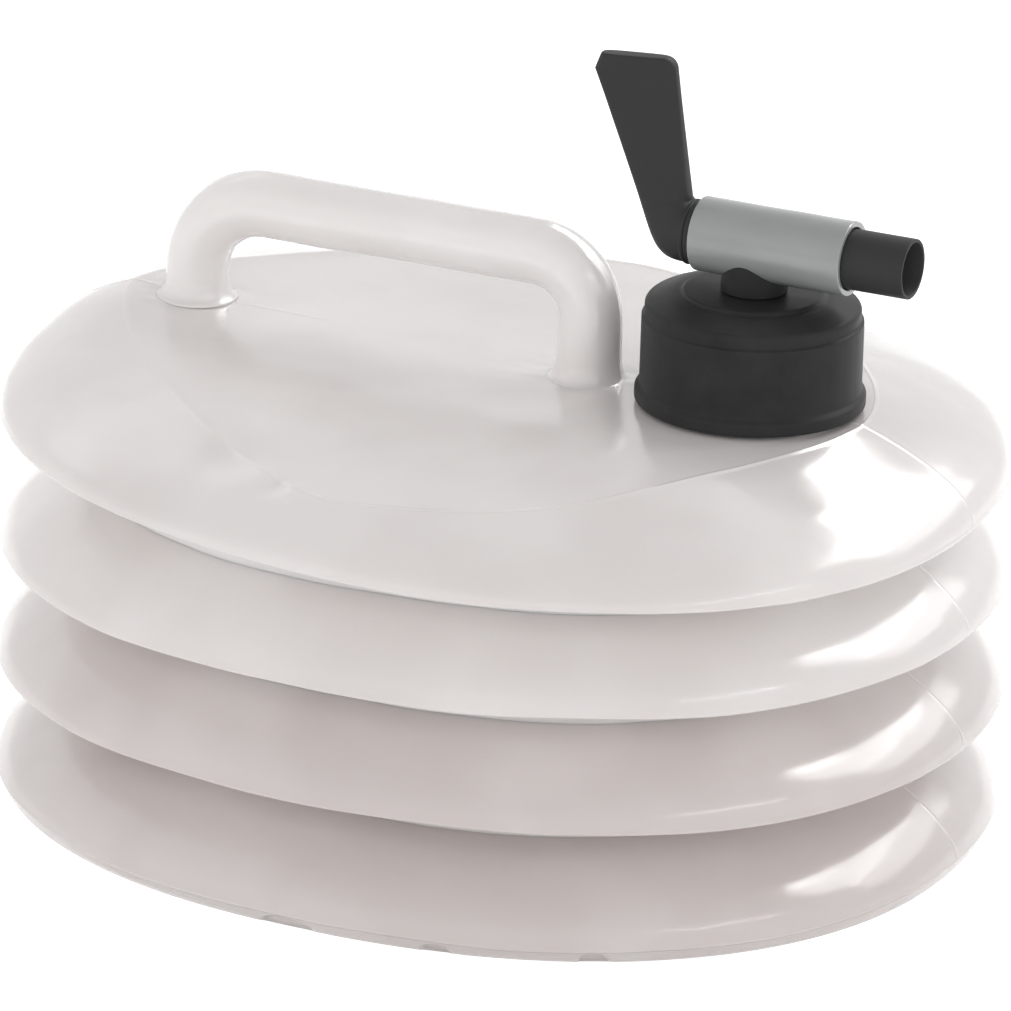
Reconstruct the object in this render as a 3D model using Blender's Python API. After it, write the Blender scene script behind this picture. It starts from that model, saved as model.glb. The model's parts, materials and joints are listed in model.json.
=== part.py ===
"""Collapsible water carrier: a folding container with a loop handle, a screw cap and a lever tap.

The container is one moulding. It is split at its folds, so that its tiers can close up on each other.
"""

import bmesh
import bpy
from math import cos, pi, sin, sqrt, tau
from mathutils import Matrix, Vector

mm = 0.001

# Container: outline seen from above, and its folds
half_length = 135 * mm
half_width = 120 * mm
outline_power = 2.2
outline_segments = 48
wall = 1.6 * mm
pitch = 32 * mm
tier_count = 4
lowest_ridge = 4 * mm
fold_depth = 26 * mm
fold_land = 2 * mm
upper_rise = 22.5 * mm
upper_power = 1.8
flank_shares = (0.0, 0.2, 0.45, 0.72, 1.0)
fold_gap = 0.3 * mm
chime_inset = 1.2 * mm
base_inset = 2.4 * mm

# Container: domed top and its raised panel
panel_rise = 18 * mm
panel_fall = 6 * mm
panel_end_inset = 23 * mm
panel_side_inset = 22 * mm
panel_power = 1.4
shoulder_power = 0.5
shoulder_shares = (0.93, 0.75, 0.45, 0.2)
panel_shares = (0.3, 0.7)

# Neck
neck_inset = 65 * mm
neck_radius = 24.4 * mm
neck_flare = 2.2 * mm
neck_ledge = 5 * mm
neck_segments = outline_segments

# Thread of the neck and the cap
thread_pitch = 4 * mm
thread_turns = 1.5
thread_height = 1.5 * mm
thread_root_width = 1.9 * mm
thread_crest_width = 0.9 * mm
thread_clearance = 0.4 * mm
thread_bite = 0.5 * mm
thread_from_rim = 3.6 * mm
thread_offset_share = 0.5
thread_end_share = 0.15
thread_runout_turns = 0.25
thread_steps = 28

# Loop handle
handle_radius = 8.9 * mm
handle_inset = 42.4 * mm
handle_to_neck = 46.6 * mm
handle_rise = 34.5 * mm
handle_rear_bend = 21 * mm
handle_front_bend = 15 * mm
handle_foot_flare = 1.6 * mm
handle_foot_height = 5 * mm
handle_sides = 14
bend_steps = 5

# Screw cap
cap_gap = 3.9 * mm
cap_wall = 2.9 * mm
cap_draft = 0.7 * mm
cap_lip = 1.3 * mm
cap_lip_height = 4.6 * mm
cap_depth = 25.2 * mm
cap_plate = 2.4 * mm
cap_step = 0.6 * mm
cap_shoulder = 1.4 * mm
cap_dome = 2 * mm
cap_dome_share = 0.7
cap_disc_radius = 18.4 * mm
cap_disc_rise = 0.8 * mm
cap_segments = 48

# Seals and clip
seat_gap = 0.3 * mm
gasket_thickness = 1.5 * mm
gasket_width = 6.5 * mm
washer_thickness = 1.6 * mm
washer_width = 3.6 * mm
clip_thickness = 1.6 * mm
clip_width = 3 * mm
ring_section = 1.4 * mm
ring_steps = 6
ring_segments = 24

# Tap body
stem_radius = 7 * mm
stem_bore = 4.5 * mm
barb_height = 1.8 * mm
barb_grip = 1 * mm
saddle_radius = 8.8 * mm
sleeve_radius = 9.9 * mm
sleeve_length = 43 * mm
sleeve_lever_side = 15.5 * mm
sleeve_clear = 3 * mm
tap_segments = 28

# Lever and spout
tube_radius = 8 * mm
tube_bore = 4.8 * mm
tube_reach = 17 * mm
tube_edge = 0.8 * mm
tube_end_wall = 4 * mm
turning_gap = 0.3 * mm
port_radius = 3.6 * mm
port_sides = 16
groove_width = 2.2 * mm
groove_inset = 2.6 * mm
collar_radius = 8.7 * mm
collar_width = 2.6 * mm
collar_ring_width = 0.9 * mm
collar_ring_depth = 0.4 * mm
elbow_inner_radius = 0.5 * mm
elbow_steps = 5
elbow_power = 6
lever_height = 46.4 * mm
lever_root_width = 14.6 * mm
lever_tip_width = 23 * mm
lever_lean = 8.4 * mm
lever_root_thickness = 9 * mm
lever_thickness = 5.4 * mm
lever_thin_share = 0.7
lever_body_shares = (0.35, 0.7)
lever_chamfer = 4.6 * mm
lever_chamfer_width = 3.6 * mm
lever_round = 2.8 * mm
lever_edge = 0.8 * mm
lever_tip_shares = (1.0, 0.6, 0.3, 0.12, 0.03, 0.0)
overrun = 1 * mm

# Shading: edges sharper than this angle (radians) stay crisp
sharp_angle = 0.55

# Worked out from the sizes above
top_ridge = lowest_ridge + (tier_count - 1) * pitch
lower_drop = pitch - upper_rise
neck_x = half_length - neck_inset
panel_front = neck_x + neck_radius + neck_flare + neck_ledge
panel_rear = -(half_length - panel_end_inset)
panel_centre = (panel_front + panel_rear) / 2
panel_half_length = (panel_front - panel_rear) / 2
panel_half_width = half_width - panel_side_inset
panel_height = top_ridge + panel_rise
cap_bottom = panel_height + cap_gap
cap_bore = neck_radius + thread_height + thread_clearance
cap_radius = cap_bore + cap_wall
cap_underside = cap_bottom + cap_depth
cap_edge_top = cap_underside + cap_plate
cap_disc_top = cap_edge_top + cap_dome + cap_disc_rise
cap_recess_top = cap_disc_top - cap_plate
gasket_top = cap_underside - seat_gap
gasket_bottom = gasket_top - gasket_thickness
neck_rim = gasket_bottom - seat_gap
washer_top = cap_recess_top - seat_gap
clip_top = washer_top - washer_thickness - seat_gap
barb_top = clip_top - clip_thickness - seat_gap
stem_hole = stem_radius + turning_gap
sleeve_bore = tube_radius + turning_gap
saddle_bottom = cap_disc_top + seat_gap
tap_axis = saddle_bottom + sleeve_clear + sleeve_radius
sleeve_start = neck_x - sleeve_lever_side
sleeve_end = sleeve_start + sleeve_length
spout_end = sleeve_end + tube_reach
collar_start = sleeve_start - turning_gap - collar_width
elbow_radius = collar_radius - collar_ring_depth
elbow_height = tap_axis + elbow_radius + elbow_inner_radius
lever_rise = tap_axis + lever_height - elbow_height
lever_rear_slope = (lever_lean + (lever_tip_width - lever_root_width) / 2) / lever_rise
lever_front_slope = (lever_lean - (lever_tip_width - lever_root_width) / 2) / lever_rise
groove_radius = tube_radius - ring_section - seat_gap
handle_front = neck_x - handle_to_neck
handle_rear = -(half_length - handle_inset)
handle_top = panel_height + handle_rise


def material(name, colour, roughness, metallic=0.0):
    """A Principled material with one colour (linear red, green, blue)."""
    made = bpy.data.materials.get(name) or bpy.data.materials.new(name)
    made.use_nodes = True
    shader = made.node_tree.nodes["Principled BSDF"]
    shader.inputs["Base Color"].default_value = (*colour, 1.0)
    shader.inputs["Roughness"].default_value = roughness
    shader.inputs["Metallic"].default_value = metallic
    return made


def finish(name, shape, look, parent=None):
    """Turn a bmesh into a named, smooth-shaded object that keeps its place under its parent."""
    bmesh.ops.recalc_face_normals(shape, faces=shape.faces)
    mesh = bpy.data.meshes.new(name)
    shape.to_mesh(mesh)
    shape.free()
    mesh.shade_smooth()
    mesh.set_sharp_from_angle(angle=sharp_angle)
    mesh.materials.append(look)
    made = bpy.data.objects.new(name, mesh)
    bpy.context.collection.objects.link(made)
    if parent:
        made.parent = parent
        made.matrix_parent_inverse = Matrix.Translation(parent.matrix_world.translation).inverted()
    return made


def pivot(name, place, parent=None):
    """An empty on a joint's axis, which carries the pieces that move with it."""
    made = bpy.data.objects.new(name, None)
    bpy.context.collection.objects.link(made)
    made.location = place
    if parent:
        made.parent = parent
        made.location = Vector(place) - parent.matrix_world.translation
    bpy.context.view_layer.update()
    return made


def tool(made):
    """Mark an object that only cuts or joins another."""
    made.hide_render = True
    made.display_type = 'WIRE'
    return made


def combine(target, other, operation):
    """Add an exact Boolean of the other object to the target."""
    step = target.modifiers.new(operation.title(), 'BOOLEAN')
    step.operation = operation
    step.solver = 'EXACT'
    step.object = tool(other)


def lofted(loops, close_start=False, close_end=False, ring=False):
    """Join loops of equal length one after another; ring joins the last to the first."""
    shape = bmesh.new()
    rows = [[shape.verts.new(point) for point in loop] for loop in loops]
    pairs = list(zip(rows, rows[1:]))
    if ring:
        pairs.append((rows[-1], rows[0]))
    for low, high in pairs:
        for i in range(len(low)):
            j = (i + 1) % len(low)
            shape.faces.new((low[i], low[j], high[j], high[i]))
    if close_start:
        shape.faces.new(list(reversed(rows[0])))
    if close_end:
        shape.faces.new(rows[-1])
    return shape


def turned(profile, segments, centre=(0, 0), along_x=False, height=0, solid=False):
    """Spin a profile of (radius, distance) points round Z, or round a level axis along X.

    The profile is a closed section, or with solid an outer side from end to end that is capped.
    """
    loops = []
    for radius, distance in profile:
        loop = []
        for i in range(segments):
            angle = tau * i / segments
            across, up = radius * cos(angle), radius * sin(angle)
            if along_x:
                loop.append((distance, across, height + up))
            else:
                loop.append((centre[0] + across, centre[1] + up, distance))
        loops.append(loop)
    return lofted(loops, close_start=solid, close_end=solid, ring=not solid)


def rod(radius, start, end, segments, along_x=False, centre=(0, 0), height=0):
    """A solid cylinder between two distances on its axis."""
    shape = bmesh.new()
    length = end - start
    if along_x:
        place = Matrix.Translation(((start + end) / 2, 0, height)) @ Matrix.Rotation(pi / 2, 4, 'Y')
    else:
        place = Matrix.Translation((centre[0], centre[1], (start + end) / 2))
    bmesh.ops.create_cone(shape, cap_ends=True, segments=segments, radius1=radius, radius2=radius,
                          depth=length, matrix=place)
    return shape


def signed_power(value, power):
    """Raise the size of a number to a power and keep its sign."""
    return (abs(value) ** power) * (1 if value >= 0 else -1)


def outline(inset, height):
    """The container's rounded outline, drawn in by an inset, as one loop of points."""
    power = 2 / outline_power
    loop = []
    for i in range(outline_segments):
        angle = tau * i / outline_segments
        x = (half_length - inset) * signed_power(cos(angle), power)
        y = (half_width - inset) * signed_power(sin(angle), power)
        loop.append((x, y, height))
    return loop


def upper_flank(ridge, stop_short):
    """Loops of a tier's convex upper side, from its ridge up to the land of the fold above."""
    rise = upper_rise - fold_land / 2
    loops = [outline(fold_depth * share ** upper_power, ridge + rise * share) for share in flank_shares]
    loops.append(outline(fold_depth, ridge + upper_rise - stop_short))
    return loops


def lower_flank(ridge, stop_short):
    """Loops of a tier's flatter under side, from the land of the fold below up to its ridge."""
    return [outline(fold_depth, ridge - lower_drop + stop_short),
            outline(fold_depth, ridge - lower_drop + fold_land / 2)]


def shelled(name, loops, look, parent, close_start=False):
    """Make an open skin from loops and give it the container's wall on its inner side."""
    made = finish(name, lofted(loops, close_start=close_start), look, parent)
    shell = made.modifiers.new("Wall", 'SOLIDIFY')
    shell.thickness = wall
    shell.offset = -1
    shell.use_even_offset = True
    shell.use_quality_normals = True
    return made


def panel_surface(y):
    """Height of the raised panel, which falls a little towards its long sides."""
    return panel_height - panel_fall * (y / panel_half_width) ** 2


def panel_edge():
    """The crease round the raised panel: a loop that is fuller than a diamond."""
    power = 2 / panel_power
    loop = []
    for i in range(outline_segments):
        angle = tau * i / outline_segments
        x = panel_centre + panel_half_length * signed_power(cos(angle), power)
        y = panel_half_width * signed_power(sin(angle), power)
        loop.append((x, y, panel_surface(y)))
    return loop


def neck_loop(radius, height=None):
    """A circle round the neck's axis, on the panel where no height is given."""
    loop = []
    for i in range(neck_segments):
        angle = tau * i / neck_segments
        x, y = neck_x + radius * cos(angle), radius * sin(angle)
        loop.append((x, y, panel_surface(y) if height is None else height))
    return loop


def between(start, end, share):
    """A loop part of the way from one loop to another."""
    return [tuple(a + (b - a) * share for a, b in zip(p, q)) for p, q in zip(start, end)]


def shoulder(share):
    """A loop of the domed shoulder: share 0 is the panel's crease and 1 the top ridge."""
    edge, ridge = panel_edge(), outline(0, top_ridge)
    loop = []
    for p, q in zip(edge, ridge):
        x, y = p[0] + (q[0] - p[0]) * share, p[1] + (q[1] - p[1]) * share
        loop.append((x, y, top_ridge + (p[2] - top_ridge) * (1 - share) ** shoulder_power))
    return loop


def thread(root, crest, start):
    """A helical ridge round the neck's axis whose height runs out at both ends."""
    count = int(thread_turns * thread_steps) + 1
    loops = []
    for i in range(count):
        angle = tau * i / thread_steps
        height = start + thread_pitch * i / thread_steps
        from_end = min(i, count - 1 - i) / thread_steps
        share = min(1, thread_end_share + from_end / thread_runout_turns)
        tip = root + (crest - root) * share
        section = ((root, -thread_root_width / 2), (tip, -thread_crest_width / 2),
                   (tip, thread_crest_width / 2), (root, thread_root_width / 2))
        loops.append([(neck_x + r * cos(angle), r * sin(angle), height + h) for r, h in section])
    return lofted(loops, close_start=True, close_end=True)


def handle_path(foot):
    """Centre line of the loop handle in the middle plane, from one foot over to the other."""
    path = [(handle_rear, foot, handle_radius + handle_foot_flare),
            (handle_rear, foot + handle_foot_height, handle_radius)]
    for i in range(bend_steps + 1):
        angle = pi / 2 * i / bend_steps
        x = handle_rear + handle_rear_bend * (1 - cos(angle))
        path.append((x, handle_top - handle_rear_bend * (1 - sin(angle)), handle_radius))
    for i in range(bend_steps + 1):
        angle = pi / 2 * i / bend_steps
        x = handle_front - handle_front_bend * (1 - sin(angle))
        path.append((x, handle_top - handle_front_bend * (1 - cos(angle)), handle_radius))
    path += [(handle_front, foot + handle_foot_height, handle_radius),
             (handle_front, foot, handle_radius + handle_foot_flare)]
    return path


def handle_tube(foot, thinner):
    """A round tube along the handle's centre line."""
    path = handle_path(foot)
    loops = []
    for k, (x, z, radius) in enumerate(path):
        before, after = path[max(k - 1, 0)], path[min(k + 1, len(path) - 1)]
        along = Vector((after[0] - before[0], 0, after[1] - before[1])).normalized()
        if k in (0, len(path) - 1):
            along = Vector((0, 0, 1 if k == 0 else -1))
        side = Vector((along.z, 0, -along.x))
        loop = []
        for i in range(handle_sides):
            angle = tau * i / handle_sides
            reach = radius - thinner
            offset = side * (reach * cos(angle)) + Vector((0, reach * sin(angle), 0))
            loop.append(Vector((x, 0, z)) + offset)
        loops.append(loop)
    return lofted(loops, close_start=True, close_end=True)


def make_base(look, parent):
    """Lowest tier with the chime and the flat base panel."""
    loops = [outline(base_inset, 0), outline(chime_inset, base_inset - chime_inset)]
    loops += upper_flank(lowest_ridge, fold_gap / 2)
    return shelled("container_base", loops, look, parent, close_start=True)


def make_tier(number, look, parent):
    """One free tier between two folds; tiers are numbered from the base."""
    ridge = lowest_ridge + number * pitch
    loops = lower_flank(ridge, fold_gap / 2) + upper_flank(ridge, fold_gap / 2)
    return shelled(f"container_tier_{number + 1}", loops, look, parent)


def make_top(look, parent):
    """Top tier with the raised panel, the threaded neck and the hollow handle."""
    loops = lower_flank(top_ridge, fold_gap / 2)
    loops += [shoulder(1)]
    loops += [shoulder(share) for share in shoulder_shares]
    edge = panel_edge()
    foot = neck_loop(neck_radius + neck_flare)
    loops += [edge]
    loops += [[(x, y, panel_surface(y)) for x, y, _ in between(edge, foot, share)] for share in panel_shares]
    loops += [foot, neck_loop(neck_radius, panel_height + neck_flare), neck_loop(neck_radius, neck_rim)]
    top = shelled("container_top", loops, look, parent)
    seat = panel_height - wall / 2
    grip = finish("handle_outside", handle_tube(seat, 0), look)
    combine(top, grip, 'UNION')
    hollow = finish("handle_inside", handle_tube(panel_height - wall - handle_foot_flare, wall), look)
    combine(top, hollow, 'DIFFERENCE')
    start = neck_rim - thread_from_rim - thread_pitch * thread_turns
    screw = finish("neck_thread", thread(neck_radius - thread_bite, neck_radius + thread_height, start), look)
    combine(top, screw, 'UNION')
    return top


def make_cap(look, parent):
    """Screw cap: a skirt with a lip, a low domed top with a raised disc, and a thread inside."""
    top_radius = cap_radius - cap_draft
    profile = [(cap_bore, cap_bottom),
               (cap_radius + cap_lip, cap_bottom),
               (cap_radius + cap_lip, cap_bottom + cap_lip_height - cap_lip),
               (cap_radius, cap_bottom + cap_lip_height),
               (top_radius + cap_step, cap_underside),
               (top_radius, cap_underside + cap_step),
               (top_radius, cap_edge_top - cap_shoulder),
               (top_radius - cap_shoulder, cap_edge_top),
               ((top_radius + cap_disc_radius) / 2, cap_edge_top + cap_dome * cap_dome_share),
               (cap_disc_radius + cap_disc_rise, cap_edge_top + cap_dome),
               (cap_disc_radius, cap_disc_top),
               (stem_hole, cap_disc_top),
               (stem_hole, cap_recess_top),
               (cap_disc_radius - cap_plate, cap_recess_top),
               (cap_disc_radius - cap_plate, cap_underside),
               (cap_bore, cap_underside)]
    cap = finish("screw_cap", turned(profile, cap_segments, (neck_x, 0)), look, parent)
    start = neck_rim - thread_from_rim - thread_pitch * (thread_turns + thread_offset_share)
    screw = finish("cap_thread", thread(cap_bore + thread_bite, neck_radius + thread_clearance, start), look)
    combine(cap, screw, 'UNION')
    return cap


def flat_ring(name, inner, outer, bottom, top, look, parent):
    """A flat ring round the neck's axis."""
    profile = [(inner, bottom), (outer, bottom), (outer, top), (inner, top)]
    return finish(name, turned(profile, ring_segments, (neck_x, 0)), look, parent)


def round_ring(name, middle_radius, x, look, parent):
    """An O-ring round the tap's level axis."""
    profile = []
    for i in range(ring_steps):
        angle = tau * i / ring_steps
        profile.append((middle_radius + ring_section / 2 * cos(angle), x + ring_section / 2 * sin(angle)))
    shape = turned(profile, ring_segments, along_x=True, height=tap_axis)
    return finish(name, shape, look, parent)


def make_tap_body(look, parent):
    """Grey sleeve on its stem, which goes through the cap and ends in a barb."""
    profile = [(stem_radius, barb_top - barb_height),
               (stem_radius + barb_grip, barb_top),
               (stem_radius, barb_top),
               (stem_radius, saddle_bottom),
               (saddle_radius, saddle_bottom),
               (saddle_radius, tap_axis - sleeve_radius / 2)]
    body = finish("tap_body", turned(profile, tap_segments, (neck_x, 0), solid=True), look, parent)
    sleeve = rod(sleeve_radius, sleeve_start, sleeve_end, tap_segments, along_x=True, height=tap_axis)
    combine(body, finish("sleeve_outside", sleeve, look), 'UNION')
    bore = rod(sleeve_bore, sleeve_start - overrun, sleeve_end + overrun, tap_segments, True, height=tap_axis)
    combine(body, finish("sleeve_inside", bore, look), 'DIFFERENCE')
    way = rod(stem_bore, barb_top - barb_height - overrun, tap_axis, tap_segments, centre=(neck_x, 0))
    combine(body, finish("stem_inside", way, look), 'DIFFERENCE')
    return body


def cross_section(inner, outer, half_thickness, power):
    """A rounded section of the lever and tube between two points (x, z) of the middle plane."""
    loop = []
    for i in range(tap_segments):
        angle = tau * i / tap_segments
        share = (1 + signed_power(cos(angle), 2 / power)) / 2
        x, z = (a + (b - a) * share for a, b in zip(inner, outer))
        loop.append((x, half_thickness * signed_power(sin(angle), 2 / power), z))
    return loop


def tube_loops():
    """Round loops of the turning tube, from its collar at the elbow to the spout's mouth."""
    rear, front = sleeve_start + groove_inset, sleeve_end - groove_inset
    ring_end = collar_start + collar_ring_width
    collar_end = collar_start + collar_width
    profile = [(collar_radius, collar_start), (collar_radius, ring_end),
               (elbow_radius, ring_end), (elbow_radius, ring_end + collar_ring_depth),
               (collar_radius, ring_end + collar_ring_depth), (collar_radius, collar_end),
               (tube_radius, collar_end), (tube_radius, rear),
               (groove_radius, rear), (groove_radius, rear + groove_width),
               (tube_radius, rear + groove_width), (tube_radius, front - groove_width),
               (groove_radius, front - groove_width), (groove_radius, front),
               (tube_radius, front), (tube_radius, spout_end - tube_edge),
               (tube_radius - tube_edge, spout_end)]
    return [cross_section((x, tap_axis + r), (x, tap_axis - r), r, 2) for r, x in profile]


def elbow_loops():
    """Sections fanned round the inner corner of the elbow, from the tube up to the lever's root.

    The outer side follows the tube's underside and the lever's rear edge, rounded where they meet.
    """
    loops = []
    for k in range(elbow_steps + 1):
        share = k / elbow_steps
        tilt = pi / 2 * share
        under = cos(tilt) / (elbow_inner_radius + 2 * elbow_radius)
        behind = (sin(tilt) + lever_rear_slope * cos(tilt)) / (elbow_inner_radius + lever_root_width)
        reach = (under ** elbow_power + behind ** elbow_power) ** (-1 / elbow_power)
        inner, outer = ((collar_start - r * sin(tilt), elbow_height - r * cos(tilt))
                        for r in (elbow_inner_radius, reach))
        half_thickness = elbow_radius + (lever_root_thickness / 2 - elbow_radius) * share
        loops.append(cross_section(inner, outer, half_thickness, 2 + share))
    return loops


def rounded_in(drop, radius):
    """How far a rounded edge draws in at a given distance from its end."""
    return radius - sqrt(radius ** 2 - max(0, radius - drop) ** 2)


def paddle_loops():
    """Level sections of the lever above its root, with a chamfer and a rounded corner at the tip."""
    loops = []
    drops = [lever_rise * (1 - share) for share in lever_body_shares]
    for drop in drops + [lever_chamfer * share for share in lever_tip_shares]:
        up = lever_rise - drop
        share = up / lever_rise
        front = collar_start - elbow_inner_radius - lever_front_slope * up - rounded_in(drop, lever_round)
        rear = collar_start - elbow_inner_radius - lever_root_width - lever_rear_slope * up
        rear += lever_chamfer_width * max(0, 1 - drop / lever_chamfer)
        thickness = lever_root_thickness
        thickness += (lever_thickness - lever_root_thickness) * min(1, share / lever_thin_share)
        height = elbow_height + up
        loops.append(cross_section((front, height), (rear, height),
                                   thickness / 2 - rounded_in(drop, lever_edge), 3 + share))
    return loops


def make_lever_spout(look, parent):
    """Turning tube with its port, the elbow and the paddle lever, one moulding."""
    loops = list(reversed(elbow_loops() + paddle_loops())) + tube_loops()
    tube = finish("lever_spout", lofted(loops, close_start=True, close_end=True), look, parent)
    inner_end = sleeve_start + groove_inset + groove_width + tube_end_wall
    bore = rod(tube_bore, inner_end, spout_end + overrun, tap_segments, along_x=True, height=tap_axis)
    combine(tube, finish("spout_bore", bore, look), 'DIFFERENCE')
    hole = bmesh.new()
    place = Matrix.Translation((neck_x, -tube_radius / 2, tap_axis)) @ Matrix.Rotation(pi / 2, 4, 'X')
    bmesh.ops.create_cone(hole, cap_ends=True, segments=port_sides, radius1=port_radius, radius2=port_radius,
                          depth=tube_radius + overrun, matrix=place)
    combine(tube, finish("port_cut", hole, look), 'DIFFERENCE')
    return tube


def build():
    """Make every piece and hang it on the pivot that it moves with."""
    for item in list(bpy.data.objects):
        bpy.data.objects.remove(item, do_unlink=True)
    milky = material("translucent polyethylene", (0.72, 0.70, 0.68), 0.28)
    black = material("black polypropylene", (0.035, 0.035, 0.036), 0.42)
    grey = material("grey polypropylene", (0.24, 0.26, 0.26), 0.25)
    rubber = material("grey silicone rubber", (0.32, 0.32, 0.31), 0.6)
    clip = material("white acetal", (0.7, 0.7, 0.68), 0.35)

    ground = pivot("base_pivot", (0, 0, 0))
    make_base(milky, ground)
    for number in range(1, tier_count - 1):
        carrier = pivot(f"tier_{number + 1}_pivot", (0, 0, lowest_ridge + number * pitch), ground)
        make_tier(number, milky, carrier)
    top = pivot("top_pivot", (0, 0, top_ridge), ground)
    make_top(milky, top)

    lift = pivot("cap_lift_pivot", (neck_x, 0, neck_rim), top)
    outer = cap_bore - seat_gap
    flat_ring("cap_gasket", outer - gasket_width, outer, gasket_bottom, gasket_top, rubber, lift)
    turn = pivot("cap_turn_pivot", (neck_x, 0, cap_underside), lift)
    make_cap(black, turn)
    washer_outer = stem_hole + washer_width
    flat_ring("stem_washer", stem_hole, washer_outer, washer_top - washer_thickness, washer_top, rubber, turn)

    swivel = pivot("tap_swivel_pivot", (neck_x, 0, cap_disc_top), turn)
    make_tap_body(grey, swivel)
    clip_outer = stem_hole + clip_width
    flat_ring("stem_clip", stem_hole, clip_outer, clip_top - clip_thickness, clip_top, clip, swivel)

    lever = pivot("lever_pivot", (neck_x, 0, tap_axis), swivel)
    make_lever_spout(black, lever)
    middle = groove_radius + seat_gap / 2 + ring_section / 2
    round_ring("rear_o_ring", middle, sleeve_start + groove_inset + groove_width / 2, rubber, lever)
    round_ring("front_o_ring", middle, sleeve_end - groove_inset - groove_width / 2, rubber, lever)


build()
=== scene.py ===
"""Collapsible water carrier: the visible pieces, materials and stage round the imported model.

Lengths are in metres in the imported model's frame: Z up, X towards the cap and the spout.
"""

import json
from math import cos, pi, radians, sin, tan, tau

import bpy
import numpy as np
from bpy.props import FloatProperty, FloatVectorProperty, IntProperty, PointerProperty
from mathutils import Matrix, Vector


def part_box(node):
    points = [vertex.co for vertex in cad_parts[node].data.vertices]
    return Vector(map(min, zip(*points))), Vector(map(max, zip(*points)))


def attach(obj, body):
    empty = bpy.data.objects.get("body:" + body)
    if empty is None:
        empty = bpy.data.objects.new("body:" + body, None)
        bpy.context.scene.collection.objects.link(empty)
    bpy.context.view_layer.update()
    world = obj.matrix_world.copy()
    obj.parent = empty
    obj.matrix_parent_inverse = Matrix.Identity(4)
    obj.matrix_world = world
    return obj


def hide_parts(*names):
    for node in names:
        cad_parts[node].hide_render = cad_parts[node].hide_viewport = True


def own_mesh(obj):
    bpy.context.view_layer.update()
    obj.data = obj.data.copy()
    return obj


bl_info = {
    "name": "Collapsible Water Carrier",
    "version": (1, 0, 0),
    "blender": (4, 5, 0),
    "location": "View3D > Sidebar > Carrier",
    "description": "Folding water container with a loop handle, a screw cap and a lever tap",
    "category": "Add Mesh",
}

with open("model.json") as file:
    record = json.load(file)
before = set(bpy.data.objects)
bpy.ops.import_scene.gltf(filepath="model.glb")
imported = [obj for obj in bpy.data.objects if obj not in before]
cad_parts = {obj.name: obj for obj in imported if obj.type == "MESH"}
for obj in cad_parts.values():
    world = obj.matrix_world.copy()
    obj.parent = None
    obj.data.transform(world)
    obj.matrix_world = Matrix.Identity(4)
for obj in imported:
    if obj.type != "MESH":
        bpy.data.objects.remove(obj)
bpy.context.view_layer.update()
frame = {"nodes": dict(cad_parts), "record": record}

MM = 0.001

# Clearance between neighbouring mouldings
PLAY = 0.3 * MM

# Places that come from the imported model
JOINT = {joint["name"]: joint for joint in frame["record"]["behaviour"]["joints"]}
NECK_X = JOINT["cap_turn"]["pos_m"][0]
TAP_AXIS = JOINT["lever_turn"]["pos_m"][2]
DISC_TOP = JOINT["tap_swivel"]["pos_m"][2]
CAP_UNDERSIDE = JOINT["cap_turn"]["pos_m"][2]
HALF_LENGTH, HALF_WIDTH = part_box("container_base")[1][:2]
NECK_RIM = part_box("cap_gasket")[0].z - PLAY
CAP_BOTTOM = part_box("screw_cap")[0].z
BARB_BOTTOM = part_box("tap_body")[0].z
SLEEVE_START, SLEEVE_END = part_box("tap_body")[0].x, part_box("tap_body")[1].x
SPOUT_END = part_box("lever_spout")[1].x
LEVER_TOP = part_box("lever_spout")[1].z


def length(name, description, millimetres):
    """A length property with its default given in millimetres."""
    return FloatProperty(name=name, description=description, default=millimetres * MM, min=0,
                         unit='LENGTH')


def angle(name, description, degrees):
    """An angle property with its default given in degrees."""
    return FloatProperty(name=name, description=description, default=radians(degrees),
                         subtype='ANGLE')


def strength(name, description, value):
    """A property for the strength of a light."""
    return FloatProperty(name=name, description=description, default=value, min=0)


def colour(name, description, hex_value):
    """A colour property whose default is an sRGB hex value."""
    return FloatVectorProperty(name=name, description=description, default=linear(hex_value)[:3],
                               size=3, min=0, max=1, subtype='COLOR')


def linear(hex_value):
    """Linear red, green, blue and alpha of an sRGB hex value such as "DCDAD8"."""
    parts = np.array([int(hex_value[i:i + 2], 16) for i in (0, 2, 4)]) / 255
    light = np.where(parts <= 0.04045, parts / 12.92, ((parts + 0.055) / 1.055) ** 2.4)
    return tuple(float(part) for part in light) + (1.0,)


class ContainerSizes(bpy.types.PropertyGroup):
    """Sizes of the folding container."""
    outline_power: FloatProperty(name="Outline power", default=2.2, min=2, max=6,
                                 description="Fullness of the outline: 2 is an ellipse")
    tiers: IntProperty(name="Tiers", description="How many ridges the bellows has", default=4,
                       min=2, max=8)
    pitch: length("Pitch", "Height from one ridge to the next", 32)
    lowest_ridge: length("Lowest ridge", "Height of the ridge next to the base", 4)
    fold_depth: length("Fold depth", "How far the folds draw in from the ridges", 26)
    upper_rise: length("Upper rise", "Height of a tier's convex upper side", 22.5)
    wall: length("Wall", "Thickness of the moulded wall", 1.6)
    panel_rise: length("Panel rise", "Height of the raised panel above the top ridge", 18)
    panel_fall: length("Panel fall", "How far the panel falls at its long sides", 6)
    neck_rise: length("Neck rise", "How far the panel rises to its level seat round the neck", 3.2)
    top_lift: length("Top lift", "How far the settled top tier stands above its even height", 2.6)
    rear_lean: angle("Rear lean", "How far the top tier leans up to the rear", 2.1)
    side_lean: angle("Side lean", "How far the top tier leans up to the far side", 1.6)
    neck_radius: length("Neck radius", "Outside radius of the threaded neck", 24.4)
    bead: length("Ridge bead", "How far the fine bead stands out on each ridge", 0.32)


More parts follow.
